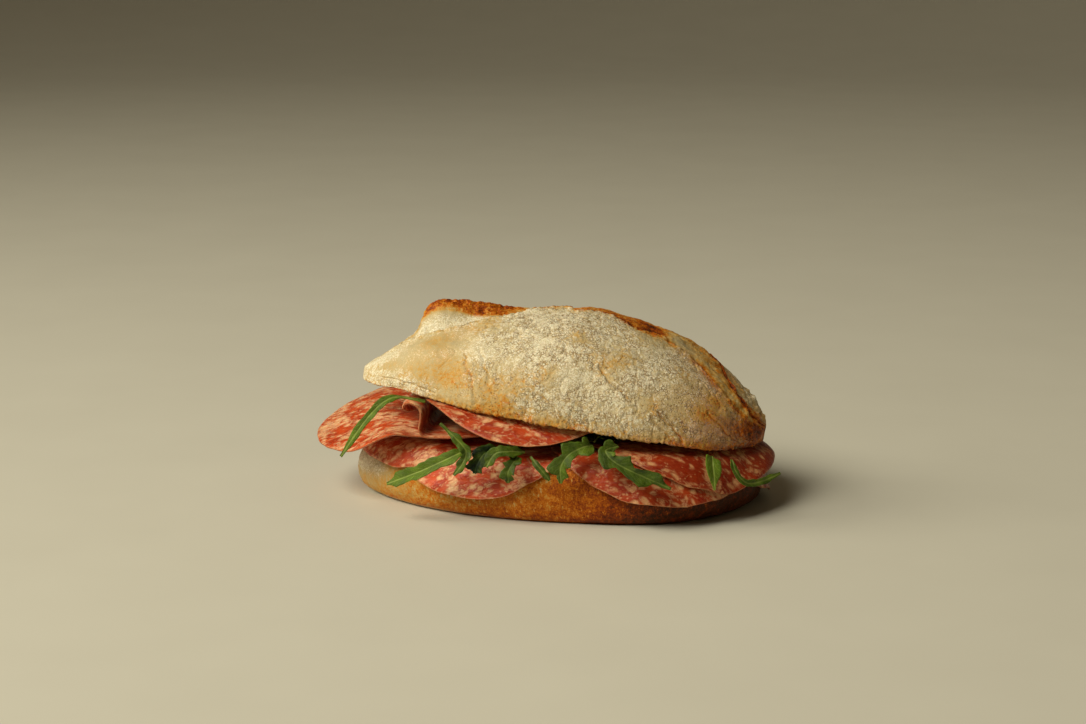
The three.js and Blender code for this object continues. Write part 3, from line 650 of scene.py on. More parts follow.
# %% Tracks of the score
flap_edge = track([[-76, 84], [-58, 79], [-48, 76], [-36, 82], [-28, 84], [-20, 86], [-13, 91], [-2, 93],
                   [3, 90], [11, 93], [19.5, 89], [26, 85], [35, 87], [42, 83.5], [49, 79],
                   [55.5, 70.5], [62.5, 60], [69, 51], [76, 41]])
back_edge = track([[-76, 92], [-58, 99], [-48, 100], [-36, 102], [-20, 108], [0, 119], [20, 124],
                   [40, 122], [52, 113], [59, 101], [63, 87], [67, 75], [71, 66], [76, 57]])
ear = track([[-63, 0], [-59.5, 1.6], [-56.6, 8.4], [-54, 10.4], [-50, 10.2], [-44, 8.2], [-34, 4.8],
             [-25, 2], [-16, 0.4], [0, 0]])
SEAT = 38.3  # height of the top half's cut in the middle of the roll
tilt = np.radians(7.7)  # how far its right end tips down
print("the ear stands up by", round(float(ear(-54.0)), 1), "mm")

# %% Dome of the top half
def crown(x):
    """Height of the dome."""
    right = x > 7
    along = np.clip(np.abs(x - 7) / np.where(right, 75.5, 88), 0, 1)
    return 36.8 * (1 - along ** np.where(right, 1.5, 1.3)) ** np.where(right, 0.5, 0.72)


def half_width(x):
    """Half width of the dome."""
    right = x > 15
    along = np.clip(np.abs(x - 15) / np.where(right, 66.3, 92.5), 0, 1)
    return 44.3 * (1 - along ** np.where(right, 3.0, 2.4)) ** np.where(right, 0.65, 0.75)


def end_sag(x):
    """How far the ends bend down."""
    return 4.2 * soft_step(-x, 52, 82) + 2.4 * soft_step(x, 42, 78)


def score_relief(x, angle, flap, back):
    """How far the crust stands off the plain dome about the score."""
    fade = soft_step(x, -74, -60) * (1 - soft_step(x, 66, 76))
    rise, right = np.maximum(0, ear(x)), soft_step(x, 36, 50)
    crisp = (1 - 0.85 * soft_step(x, -2, 12)) * fade
    lip = crisp * (0.9 * (1 - soft_step(flap - angle, 0, 14)) + 0.6 * (1 - soft_step(flap - angle, 0, 4)))
    behind = rise * (1 - soft_step(angle - back, 0, 34))
    behind += 0.7 * fade * (1 - 0.5 * right) * (1 - soft_step(angle - back, 0, 10))
    across = (angle - flap) / (back - flap)
    hollow = (1.6 - 1.2 * soft_step(x, -6, 8)) * fade * np.sin(np.pi * np.clip(across * 1.15, 0, 1))
    swell = 0.6 * soft_step(x, 34, 44) * (1 - soft_step(x, 68, 76)) * np.sin(np.pi * np.clip(across, 0, 1))
    belly = rise * soft_step(across, 0.1, 1) - hollow + swell
    return np.where(angle <= flap, lip, np.where(angle >= back, behind, belly))


def dome_point(x, angle, relief):
    """A point of the dome before the top half is tilted."""
    cos, sin = np.cos(np.radians(angle)), np.sin(np.radians(angle))
    shape = 2 / 2.3
    y = -np.sign(cos) * (half_width(x) + relief * np.abs(cos)) * np.abs(cos) ** shape
    z = crown(x) * np.abs(sin) ** shape + relief * sin
    bump = 0.45 * lumps(x, y, z) * soft_step(z, 0, 8)
    return np.stack([x, y - 0.6 * bump * cos, z + bump * sin - end_sag(x)], -1)


print("the dome is", float(crown(7.0)), "mm high and", 2 * float(half_width(15.0)), "mm wide")

# %% Grid of the top half
STATIONS, UNDER = 560, 64  # sections along the roll, and points across the cut face
part = np.linspace(0.0, 1.0, STATIONS)
part = 0.72 * part + 0.28 * (1 - np.cos(part * np.pi)) / 2
stations = -77.4 + 158.55 * part
flap, back = flap_edge(stations)[:, None], back_edge(stations)[:, None]
angles = np.concatenate([
    flap * np.linspace(0, 1, 140),
    flap + (back - flap) * np.linspace(0, 1, 30)[1:],
    back + (180 - back) * np.linspace(0, 1, 84)[1:]], axis=1)
x = np.repeat(stations[:, None], angles.shape[1], axis=1)
dome = dome_point(x, angles, score_relief(x, angles, flap, back))

width = half_width(stations)[:, None]
side = np.linspace(0.97, -0.97, UNDER)[None, :]
hollow = 1.6 * soft_step(width, 10, 30) * (1 - side**4)
under = np.stack([
    np.repeat(stations[:, None], UNDER, 1), width * side, hollow - end_sag(stations)[:, None]], -1)
shell = np.concatenate([dome, under], axis=1)[:, ::-1]
COLUMNS = shell.shape[1]
shell_angle = np.concatenate([angles, np.full(under.shape[:2], -1.0)], axis=1)[:, ::-1].ravel()
points = shell.reshape(-1, 3)
quads = grid_faces(STATIONS, COLUMNS, True)
print("top half:", len(points), "points")

# %% [markdown]
# The floured face isn't smooth. The dough creased as it was shaped, and broad dimples and fine
# wrinkles cover it. Sculpt brushes would draw them quickly, but not twice alike. Here the longest
# creases are drawn one by one, each along a line over the dome, and the fine ones come from noise with
# sharp valleys. The edges of the score and of the cut crumble.

# %% Marks on the dome
MM_PER_DEGREE = 0.6  # about how far one degree is over the dome
CREASES = [  # depth, width and line of (x, angle)
    (0.7, 0.6, [(17, 38), (23, 30), (31, 22)]), (0.7, 0.5, [(41.8, 18), (46, 12.4), (52.5, 3)]),
    (0.55, 0.45, [(39, 15), (44.6, 8), (48.8, 1)]), (0.45, 0.8, [(-35, 44), (-30.6, 22), (-26.6, 5)]),
    (0.35, 0.7, [(-29.6, 47), (-26, 32), (-23, 18)]),
    (0.45, 0.45, [(-67, 14), (-57, 8.5), (-50, 7), (-44, 4.5)]),
    (0.8, 5.0, [(-37, 74), (-38.5, 40), (-42, 10)]), (0.45, 0.6, [(60, 30), (66, 20), (71, 8)]),
    (0.4, 0.5, [(-5, 16), (3, 9), (6, 2)]),
]


def blob(x, angle, centre, size):
    """1 at a place on the dome, fading over `size` mm."""
    return bell(np.hypot(x - centre[0], (angle - centre[1]) * MM_PER_DEGREE), size)


def line_gap(x, angle, line):
    """Distance over the dome from a line of (x, angle), in millimetres."""
    gap = np.full(x.shape, 99.0)
    for (x0, a0), (x1, a1) in zip(line[:-1], line[1:]):
        dx, da = x1 - x0, (a1 - a0) * MM_PER_DEGREE
        px, pa = x - x0, (angle - a0) * MM_PER_DEGREE
        t = np.clip((px * dx + pa * da) / (dx * dx + da * da), 0, 1)
        gap = np.minimum(gap, np.hypot(px - t * dx, pa - t * da))
    return gap


def creases(points, angle):
    """Depth and width of each crease, and how far each point is from it. The lines wander a little."""
    moved = points + 1.1 * np.stack([rough(points, 5, 2, k) for k in (41, 42, 43)], 1)
    return [(depth, wide, line_gap(moved[:, 0], angle + (moved[:, 1] - points[:, 1]), line))
            for depth, wide, line in CREASES]


print("creases:", len(CREASES))

# %% Ear, plates of flour and crumbled edges
def crest_of_ear(x, angle):
    """1 on the toasted crest of the ear, which is wider towards the right."""
    flap, back = flap_edge(x), back_edge(x)
    across = (angle - flap) / (back - flap) + 0.2 * soft_step(x, -50, -28)
    band = soft_step(across, 0.64, 0.82) * (1 - soft_step(angle - back, 8, 30))
    return soft_step(ear(x), 0.5, 2.6) * band * soft_step(x, -61, -55)


def crackled(points, angle):
    """1 where the flour is thick and has cracked into plates."""
    x = points[:, 0]
    patches = noise(points, 13, 29) + 0.5 * soft_step(x, -48, -25) - 0.5 * soft_step(x, 30, 50)
    edge_left = blob(x, angle, (-60, 7), 9) + blob(x, angle, (-48, 5), 7)
    return soft_step(patches + 1.6 * edge_left, -0.35, 0.45) * (angle >= 0) * (angle < flap_edge(x))


def plate_cracks(points):
    """1 in the cracks between plates of flour, 0 on the plates."""
    bends = [noise(points, 3.4, k) + 0.5 * noise(points, 1.4, k + 9) for k in (26, 27, 28)]
    moved = points + np.stack(bends, 1)
    first, second, _ = scattered(moved, 3.1, 30)
    return 1 - soft_step(second - first, 0.02, 0.16)


def crumble(points, angle):
    """Pushes the cut edge in and out, as torn crust is, and opens pores in the cut face."""
    edge = bell(np.maximum(angle, 0), 4.0) + bell(180 - angle, 4.0) * (angle > 90)
    edge = np.where(angle < 0, 0.5, edge)
    gap, _, size = scattered(points, 3.2, 4)
    pore = -1.2 * soft_step(0.5 - gap, 0, 0.3) * soft_step(size, 0.3, 0.9) * (angle < 0)
    return 0.38 * rough(points, 1.6, 3, 71) * edge + pore * soft_step(half_width(points[:, 0]), 6, 16)


print("the crest begins at x =", next(x for x in range(-70, 0) if crest_of_ear(x, back_edge(x)) > 0.1))

# %% Relief of the top half
def face_relief(points, angle):
    """Dimples, plates, wrinkles and creases of the crust."""
    x = points[:, 0]
    front = (angle >= 0) * (angle <= flap_edge(x) + 0.01)
    total = 0.45 * rough(points, 15, 3, 21) + 0.13 * rough(points, 3.6, 2, 25)
    total -= 0.13 * crackled(points, angle) * plate_cracks(points)
    wrinkle = 1 - np.abs(noise(points, 7, 31))
    total -= 0.35 * soft_step(wrinkle, 0.88, 1.0) * soft_step(noise(points, 22, 33), -0.3, 0.5) * front
    for depth, wide, gap in creases(points, angle):
        total += front * depth * (0.35 * bell(gap - 2.2 * wide, 1.4 * wide) - bell(gap, wide))
    return total


def torn_relief(points, angle):
    """Strands and grooves of the opening, and its crumbled edges."""
    x = points[:, 0]
    flap, back = flap_edge(x), back_edge(x)
    torn = (angle > flap) * (angle < back) * soft_step(x, -70, -58)
    total = torn * 0.45 * rough(points * np.array([0.22, 1, 1]), 2.6, 3, 51)
    total -= torn * (1.1 - 0.8 * soft_step(x, -4, 10)) * bell(angle - flap - 3, 2.2)
    total -= torn * soft_step(x, 50, 58) * bell(angle - back + 1.6, 1.5)
    for edge, strength in ((flap, 0.5), (back, 0.45)):
        total += bell(angle - edge, 3.0) * soft_step(x, -72, -60) * strength * rough(points, 2.4, 3, 61)
    total += 0.9 * blob(x, angle, (74, 66), 4) * rough(points, 3.0, 3, 67)
    total += 0.5 * blob(x, angle, (33, 99), 5) * rough(points, 2.6, 2, 69)
    total += 0.30 * crest_of_ear(x, angle) * rough(points, 1.4, 2, 65)
    return total + soft_step(x, 60, 74) * (0.8 + 0.3 * (angle > back)) * rough(points, 4.5, 3, 55)


shell_normals = normals_of(points, quads)
if np.sum(shell_normals * (points - np.array([5, 0, 8]))) < 0:
    shell_normals, quads = -shell_normals, quads[:, ::-1]
relief = (face_relief(points, shell_angle) + torn_relief(points, shell_angle)) * (shell_angle >= 0)
relief += crumble(points, shell_angle)
ends = soft_step(points[:, 0], -77.3, -74) * (1 - soft_step(points[:, 0], 79.5, 81.2))
points = points + shell_normals * (relief * (0.25 + 0.75 * ends))[:, None]
print("deepest crease in mm:", round(float(relief.min()), 2))

# %% [markdown]
# Flour lies thickest on the shoulder of the front face and thins out towards its lower edge, where the
# crust is golden. A brush on vertex colours could paint this, but numbers can be corrected one at a
# time: the photo's white and golden spots are listed with their places, and everything else follows
# from where a point lies on the dome.

# %% Colour of the floured face
WHITE_SPOTS = [((-16, 77), 8), ((-7, 46), 7), ((10, 24), 9), ((23, 19), 8), ((-8, 12), 6), ((0, 66), 15),
               ((33, 40), 6), ((-69, 23), 4), ((-60, 4), 7), ((-47, 4), 6), ((-29, 45), 8), ((39, 58), 6),
               ((-72, 60), 8)]
GOLDEN_SPOTS = [((-66, 33), 5), ((-47, 60), 6), ((-51, 24), 6), ((-40, 17), 8), ((-38, 30), 7),
                ((-30, 76), 5), ((-11, 19), 6), ((-23, 15), 7), ((6, 58), 4), ((20, 40), 4.5), ((-1, 27), 4),
                ((33, 78), 5), ((62, 44), 4), ((26, 49), 4), ((38, 22), 4), ((59, 28), 4), ((-17, 4), 6)]


def face_colour(points, angle, patch):
    """Toast and flour of the floured crust, with painted shade in the narrow creases."""
    x = points[:, 0]
    broad, cracked = noise(points, 20, 83), crackled(points, angle)
    flour = 0.46 + 0.16 * patch + 0.12 * broad + 0.16 * cracked
    flour -= 0.17 * (1 - soft_step(x, -44, -22)) * (angle <= flap_edge(x)) + 0.05 * soft_step(x, 36, 62)
    flour -= 0.55 * (1 - soft_step(angle, 0.5, 9)) * soft_step(x, -52, -36) * (1 - 0.5 * soft_step(x, 0, 25))
    toast_and_shade = 0.22 + 0.10 * patch + 0.10 * broad + 0.12 * (1 - soft_step(angle, 0, 5))
    toast_and_shade += 0.12 * soft_step(x, 20, 72) + 0.03 * (1 - soft_step(x, -40, -10))
    toast_and_shade += 0.05 * soft_step(x, 36, 52) + 0.14 * blob(x, angle, (64, 16), 14)
    for spot, size in WHITE_SPOTS:
        flour += 0.26 * blob(x, angle, spot, size)
    for spot, size in GOLDEN_SPOTS:
        golden = blob(x, angle, spot, size)
        flour, toast_and_shade = flour - 0.40 * golden, toast_and_shade + 0.04 * golden
    groove = cracked * plate_cracks(points)
    flour, toast_and_shade = flour - 0.42 * groove, toast_and_shade + 0.05 * groove
    # Narrow creases are painted less floury and darker: partly bare crust in the fold, partly painted shade.
    for depth, wide, gap in creases(points, angle):
        if wide < 1:
            crease = depth * bell(gap, 0.55 * wide)
            flour, toast_and_shade = flour - 0.3 * crease, toast_and_shade + 0.18 * crease
    return toast_and_shade, flour


print("white spots:", len(WHITE_SPOTS), "golden spots:", len(GOLDEN_SPOTS))

# %% [markdown]
# The opening is bare: cream under the ear, golden orange at the right, with painted shade in the
# hollow under the ear and in the groove behind the flap's lip. The crest of the ear, the lip of the flap
# and the thin line beside the opening stuck out in the oven and are toasted dark.

# %% Colour of the opening and of the toasted edges
def opening_colour(x, angle, patch):
    """Toast and flour of the bare crust between the flap and the back, with painted shade in the hollow under
    the ear and in the groove behind the flap's lip.
    """
    flap, back = flap_edge(x), back_edge(x)
    across = np.clip((angle - flap) / (back - flap), 0, 1)
    left, right = 1 - soft_step(x, -40, -10), soft_step(x, 25, 50)
    toast_and_shade = 0.30 + 0.10 * patch - 0.28 * left * (1 - across)
    toast_and_shade += 0.18 * right * soft_step(across, 0.25, 0.9)
    toast_and_shade -= 0.20 * right * (1 - soft_step(across, 0.1, 0.6)) * (1 - soft_step(x, 44, 56))
    toast_and_shade += 0.24 * soft_step(x, -24, -14) * (1 - soft_step(x, 32, 42))
    # Painted shade: a darker band across the middle of the hollow under the ear.
    toast_and_shade += 0.22 * left * bell(across - 0.42, 0.10) * soft_step(x, -54, -44)
    # Painted shade: a darker line in the groove just behind the flap's lip.
    toast_and_shade += 0.14 * bell(across - 0.08, 0.12) * soft_step(x, -52, -30)
    flour = -0.12 - 0.18 * right + 0.80 * left * (1 - soft_step(across, 0.45, 0.85)) + 0.1 * patch
    flour += 0.5 * right * (1 - soft_step(across, 0.1, 0.5)) * (1 - soft_step(x, 46, 58))
    return toast_and_shade, flour


def scorched(points, angle):
    """How far the oven darkened the crest, the lips and the line beside the opening."""
    x = points[:, 0]
    flap, back = flap_edge(x), back_edge(x)
    ragged = soft_step(noise(points, 5, 87), -0.5, 0.3)
    frayed = 0.3 + 0.7 * ragged
    lip = bell(angle - flap, 2.6) * soft_step(x, -16, -8) * (1 - soft_step(x, 36, 46)) * frayed
    stain = bell(angle - flap + 2, 5.0) * soft_step(x, 24, 34) * frayed
    line = bell(angle - back, 1.6) * soft_step(x, 52, 58) * (1 - 0.7 * soft_step(x, 69, 73))
    ridge = bell(angle - back, 5.0) * soft_step(x, -30, -10) * (1 - soft_step(x, 34, 46)) * ragged
    burnt = blob(x, angle, (32.5, 96), 4.2) + 0.4 * blob(x, angle, (76, 25), 8)
    burnt += 0.55 * blob(x, angle, (75, 64), 4.5)
    dark = 0.40 * crest_of_ear(x, angle) + 0.30 * lip + 0.16 * stain
    return np.clip(dark + 0.52 * line + 0.30 * ridge + 0.46 * burnt, 0, 0.62)


def crazing(points, angle, opening):
    """How far the flour is crazed with fine cracks."""
    x = points[:, 0]
    face = (0.22 + 0.78 * crackled(points, angle)) * soft_step(x, -46, -26) * (1 - opening)
    face = face * np.where(angle > back_edge(x), 0.7, 1.0)
    right = soft_step(x, 22, 40) * (angle >= 0) * (angle <= flap_edge(x))
    left = blob(x, angle, (-60, 6), 7) + blob(x, angle, (-47, 4), 6)
    return np.clip(np.maximum(np.maximum(face, left), right), 0, 1)


print("toast and flour in the middle of the opening:", *np.round(opening_colour(0.0, 105.0, 0.0), 2))

# %% Colour of the top half
def top_colour(points, angle):
    """Toast with painted shade in places, flour and how crazed the flour is at each point."""
    x = points[:, 0]
    flap, back = flap_edge(x), back_edge(x)
    patch = noise(points, 8, 81)
    toast_and_shade, flour = face_colour(points, angle, patch)
    opening = (angle > flap) * (angle < back) * soft_step(x, -72, -60)
    bare_toast_and_shade, bare_flour = opening_colour(x, angle, patch)
    toast_and_shade, flour = np.where(opening > 0, bare_toast_and_shade, toast_and_shade), np.where(opening > 0, bare_flour, flour)
    dark = scorched(points, angle)
    end, tip = soft_step(x, 68, 79) * (angle < back), 1 - soft_step(x, -72, -52)
    pale = soft_step(x, 46, 58) * (angle > back + 2)
    worn = (angle > back) * soft_step(noise(points, 13, 93), -0.15, 0.6)
    toast_and_shade += dark + 0.18 * end - 0.04 * tip - 0.05 * pale + 0.10 * worn
    flour += 0.12 * tip - 1.5 * dark - 0.25 * end + (0.16 + 0.3 * noise(points, 5, 89)) * pale
    flour -= 0.34 * worn + 0.08 * (angle > back) * soft_step(x, -60, 0)
    return np.clip(toast_and_shade, 0, 1), np.clip(flour, -0.4, 1), crazing(points, angle, opening)


toast_and_shade, flour, crazed = top_colour(points, shell_angle)
crumb = (shell_angle < 0).astype(float)
turn = np.array([[np.cos(tilt), 0, np.sin(tilt)], [0, 1, 0], [-np.sin(tilt), 0, np.cos(tilt)]])
left_x, right_x = stations[0] - 0.25, stations[-1] + 0.1
tips = np.array([[left_x, 0, 1.6 - end_sag(left_x)], [right_x, 0, 3.0 - end_sag(right_x)]])
first, last = len(points), len(points) + 1
fans = np.vstack([fan(0, COLUMNS, first), fan(first - COLUMNS, COLUMNS, last, True)])
points = np.vstack([points, tips]) @ turn.T + np.array([0, 0, SEAT])
values = {"toast_and_shade": np.append(toast_and_shade, [0.3, 0.4]), "flour": np.append(flour, [0.6, 0.3]),
          "crumb": np.append(crumb, [0, 0]), "crazed": np.append(crazed, [0, 0])}
settle(add_piece("top_half", points, quads, fans, values), "roll_top", floured_crust)

# %% [markdown]
# ## Slices of salami
# A slice is a thin disc that took the shape of what it lies on. A cloth simulation could drape one,
# but it stretches, can cut through the slice below, and may end differently when something changes.
# Here a formula carries each point of the flat disc to its place, so a slice bends without stretching.
# Those on the bottom half lie flat, turn down over its edge and hang. Each lies one layer above the
# last and all share the same ripples, so that they never cut through each other.

# %% Laying slices over the edge
PITCH, CLEARANCE, THICKNESS = 1.65, 1.35, 0.9  # from slice to slice, below the first one, and of a slice
rim_x, rim_y = outline(np.arange(1440) / 1440 * 2 * np.pi, 2)
rim = np.stack([rim_x, rim_y], 1)
rim_along = np.roll(rim, -1, 0) - np.roll(rim, 1, 0)
rim_along /= np.linalg.norm(rim_along, axis=1, keepdims=True)
rim_out = np.stack([rim_along[:, 1], -rim_along[:, 0]], 1)


def nearest_rim(x, y):
    """The nearest place on the edge, the way out there, and how far outside the point is."""
    spots = np.stack([x, y], 1)
    best = np.concatenate([
        np.argmin(((part[:, None] - rim[None]) ** 2).sum(-1), 1) for part in np.array_split(spots, 12)])
    out = rim_out[best]
    distance = np.sum((spots - rim[best]) * out, 1)
    return spots - out * distance[:, None], out, distance


def draped(x, y, level, lift):
    """A point of a layer that lies on the bottom half and hangs over its edge."""
    foot, out, distance = nearest_rim(x, y)
    travel = np.maximum(distance + 5, 0)
    ripple_spot = np.stack([foot[:, 0], foot[:, 1], np.zeros(len(x))], 1)
    ripple = 0.75 * noise(ripple_spot, 12, 91) * soft_step(travel, 4, 18)
    height = level * PITCH + CLEARANCE + lift + ripple
    radius = 5.5 + height
    turned = np.minimum(travel / radius, np.radians(69))
    straight = travel - turned * radius
    outward = radius * np.sin(turned) + straight * np.cos(turned) - 5
    drop = radius * (1 - np.cos(turned)) + straight * np.sin(turned)
    inside = distance + 5 <= 0
    return np.stack([
        np.where(inside, x, foot[:, 0] + out[:, 0] * outward),
        np.where(inside, y, foot[:, 1] + out[:, 1] * outward),
        np.where(inside, cut_height(x), cut_height(foot[:, 0]) - drop) + height], 1)


def layer_height(level):
    """Height of a layer in the middle of the bottom half."""
    return CUT + CLEARANCE + level * PITCH


print("the first slice lies at", layer_height(0), "mm")

# %% [markdown]
# Some slices don't lie on the bottom half. Two are held up under the top half and hang out in front
# and behind. One slips out at the left end, humps over the slices below and droops forwards. One
# stands up at its left end and rolls over into a loop. Sculpting could bend these too, but a path of
# lengths and turns, as a strip of ribbon would take, keeps them round and as wide as they are.

# %% Ways to lie
def laid(centre, level, flare=0.0):
    """A slice on the bottom half; `flare` lifts its right end."""
    def place(u, v):
        x = centre[0] + u
        return draped(x, centre[1] + v, level, flare * soft_step(x, 74, 90))
    return place


def tucked(centre, side, depth, bend_at):
    """A slice under the top half that hangs out at the front (-1) or back (1)."""
    bend = bent_path((0, 0), 0, [(bend_at, 0), (9, -40), (60, 0)])

    def place(u, v):
        x, y = centre[0] + u, centre[1] + v
        outward, drop = bend(np.maximum(y * side, 0))
        outward = np.where(y * side > 0, outward, y * side)
        ripple = 0.35 * noise(np.stack([x, y, 0 * x], 1), 15, 95) * soft_step(y * side, bend_at, bend_at + 12)
        return np.stack([x, outward * side, SEAT - np.tan(tilt) * x - depth + drop + ripple], 1)
    return place


def outer_left(u, v):
    """The slice that slips out at the left end."""
    path = bent_path((-18, layer_height(3)), np.pi, [(27, 0), (8, -6), (4, 0), (24, 26), (17, 0)])
    along, y = 40 + u, 7 - v
    x, z = path(along)
    lean = (0.18 * y - 0.0025 * y * y) * soft_step(along, 38, 62)
    wavy = 0.7 * noise(np.stack([u, v, 0 * u], 1), 17, 97) * soft_step(along, 46, 70)
    return np.stack([x, y, z + lean + wavy], 1)


def curled(u, v):
    """The slice that rolls over into a loop."""
    path = bent_path((-11.5, layer_height(4)), np.pi, [(33, 0), (5.8, -98), (3.4, 0), (15.4, 192), (10, 60)])
    x, z = path(31.5 + u)
    loop = soft_step(31.5 + u, 38, 46)
    flat = np.stack([u, v, 0 * u], 1)
    squashed = 0.22 * (z - layer_height(4) - 7.5)
    x = x + 0.7 * loop * noise(flat, 9, 103)
    return np.stack([x, -8 - v, z + loop * (0.7 * noise(flat, 11, 105) - squashed)], 1)


curl = curled(np.linspace(-31, 31, 60), np.zeros(60))
print("the curl reaches up to", round(float(curl[:, 2].max()), 1), "mm")

# %% The ten slices
SLICES = {
    "slice_front_left": (laid((-22, -16), 0), 38.5),
    "slice_right_end": (laid((57, 7), 0), 36),
    "slice_front_right": (laid((39, -18), 1), 40),
    "slice_left_lower": (laid((-41, 2), 1), 39.5),
    "slice_front_corner": (laid((49.5, -9), 2.2, 3), 39.5),
    "slice_back": (laid((-24, 21), 2.1), 33),
    "slice_left_outer": (outer_left, 40),
    "slice_left_curled": (curled, 31.5),
    "slice_top_front": (tucked((-12, -10), -1, 1.0, 34), 40),
    "slice_top_back": (tucked((18, 12), 1, 2.5, 36), 38),
}
print("slices:", len(SLICES))

# %% Mesh of a slice
# How far each slice is painted darker, as painted shade, mostly at the right end and at the back; it also
# gives a slice a little less fat.
SHADE_AND_LEAN = {"slice_right_end": 1.0, "slice_front_corner": 0.9, "slice_front_right": 0.55, "slice_top_front": 0.35,
        "slice_left_lower": 0.2, "slice_top_back": 0.5, "slice_back": 0.5}


def make_slice(name, place, radius, number, rings=46, segments=156):
    """Both faces of a slice and its rounded edge."""
    part = np.concatenate([np.linspace(0.015, 0.985, rings - 2), [0.994, 1.0]])
    around = np.arange(segments) / segments * 2 * np.pi
    part, angle = np.meshgrid(part, around, indexing="ij")
    turn = np.stack([np.cos(angle), np.sin(angle), 0 * angle], -1).reshape(-1, 3)
    ragged = 1 + 0.012 * rough(turn * 30, 11, 4, 99 + number)
    reach = radius * part.ravel()
    u, v = (reach * ragged)[None] * turn[:, :2].T
    step = 0.05
    middle = place(u, v)
    normal = np.cross(place(u + step, v) - place(u - step, v), place(u, v + step) - place(u, v - step))
    normal /= np.linalg.norm(normal, axis=1, keepdims=True)
    flat = np.stack([u, v, np.full(len(u), number * 31.0)], 1)
    grain = 0.05 * noise(flat, 2.2, 101)
    edge = radius - reach
    half = THICKNESS / 2 * np.sqrt(np.clip(edge / 0.45, 0.12, 1)) + grain * soft_step(edge, 0.2, 1)
    upper, lower = middle + normal * half[:, None], middle - normal * half[:, None]
    count = len(u)
    face = grid_faces(rings, segments, True)
    last = np.arange(count - segments, count)
    beside = np.roll(last, -1)
    wall = np.stack([last, last + count, beside + count, beside], 1)
    quads = np.vstack([face, face[:, ::-1] + count, wall])
    fans = np.vstack([fan(0, segments, 2 * count), fan(count, segments, 2 * count + 1, True)])
    points = np.vstack([upper, lower, upper[:segments].mean(0), lower[:segments].mean(0)])
    hub = np.array([0, 0, number * 31.0])
    values = {"flat": np.vstack([flat, flat + [0, 0, 7], hub, hub + [0, 0, 7]]),
              "edge": np.concatenate([edge, edge, [radius, radius]]),
              "lean": np.full(2 * count + 2, SHADE_AND_LEAN.get(name, 0.0))}
    return add_piece(name.replace("slice", "salami"), points, quads, fans, values)


for number, (name, (place, radius)) in enumerate(SLICES.items()):
    rings = 66 if name == "slice_left_curled" else 46
    settle(make_slice(name, place, radius, number, rings), name, salami)

# %% [markdown]
# ## Rocket leaves
# A rocket leaf has a thin stalk that runs on as its midrib, and a blade with rounded side lobes. It
# could be cut out of a flat sheet and bent with a curve modifier. Building it as a strip along a curve
# is as quick, and its lobes, folds and ripples then follow the midrib. The two halves fold up a little
# and the blade is thinner than a millimetre, with the midrib standing out below.

# %% Line and lobes of a leaf
def curve_through(points, count):
    """Places and directions at evenly spaced steps along a smooth curve."""
    points = np.array(points, float)
    stops = np.arange(len(points))
    part = np.linspace(0, len(points) - 1, count)
    place = np.stack([track(np.stack([stops, points[:, k]], 1))(part) for k in range(3)], 1)
    direction = np.gradient(place, axis=0)
    return place, direction / np.linalg.norm(direction, axis=1, keepdims=True)


def lobe_line(part, lobes, depth, shift, number):
    """Half width along one side of a leaf, from 0 to 1, with lobes that point forwards."""
    spot = (part * lobes * 1.5 + shift) % 1
    rise = np.clip(spot / 0.66, 0, 1) ** 1.3
    fall = np.clip((1 - spot) / 0.34, 0, 1) ** 0.8
    teeth = 0.16 * noise(np.stack([part * 40, 0 * part + number * 9 + shift * 50, 0 * part], 1), 2.6, 111)
    return np.clip(1 - depth * 1.25 * (1 - np.minimum(rise, fall)) + teeth * (depth > 0), 0.12, 1.15)


spot = np.linspace(0, 1, 5)
print("half width along a leaf with two lobes:", np.round(lobe_line(spot, 2, 0.5, 0, 0), 2))

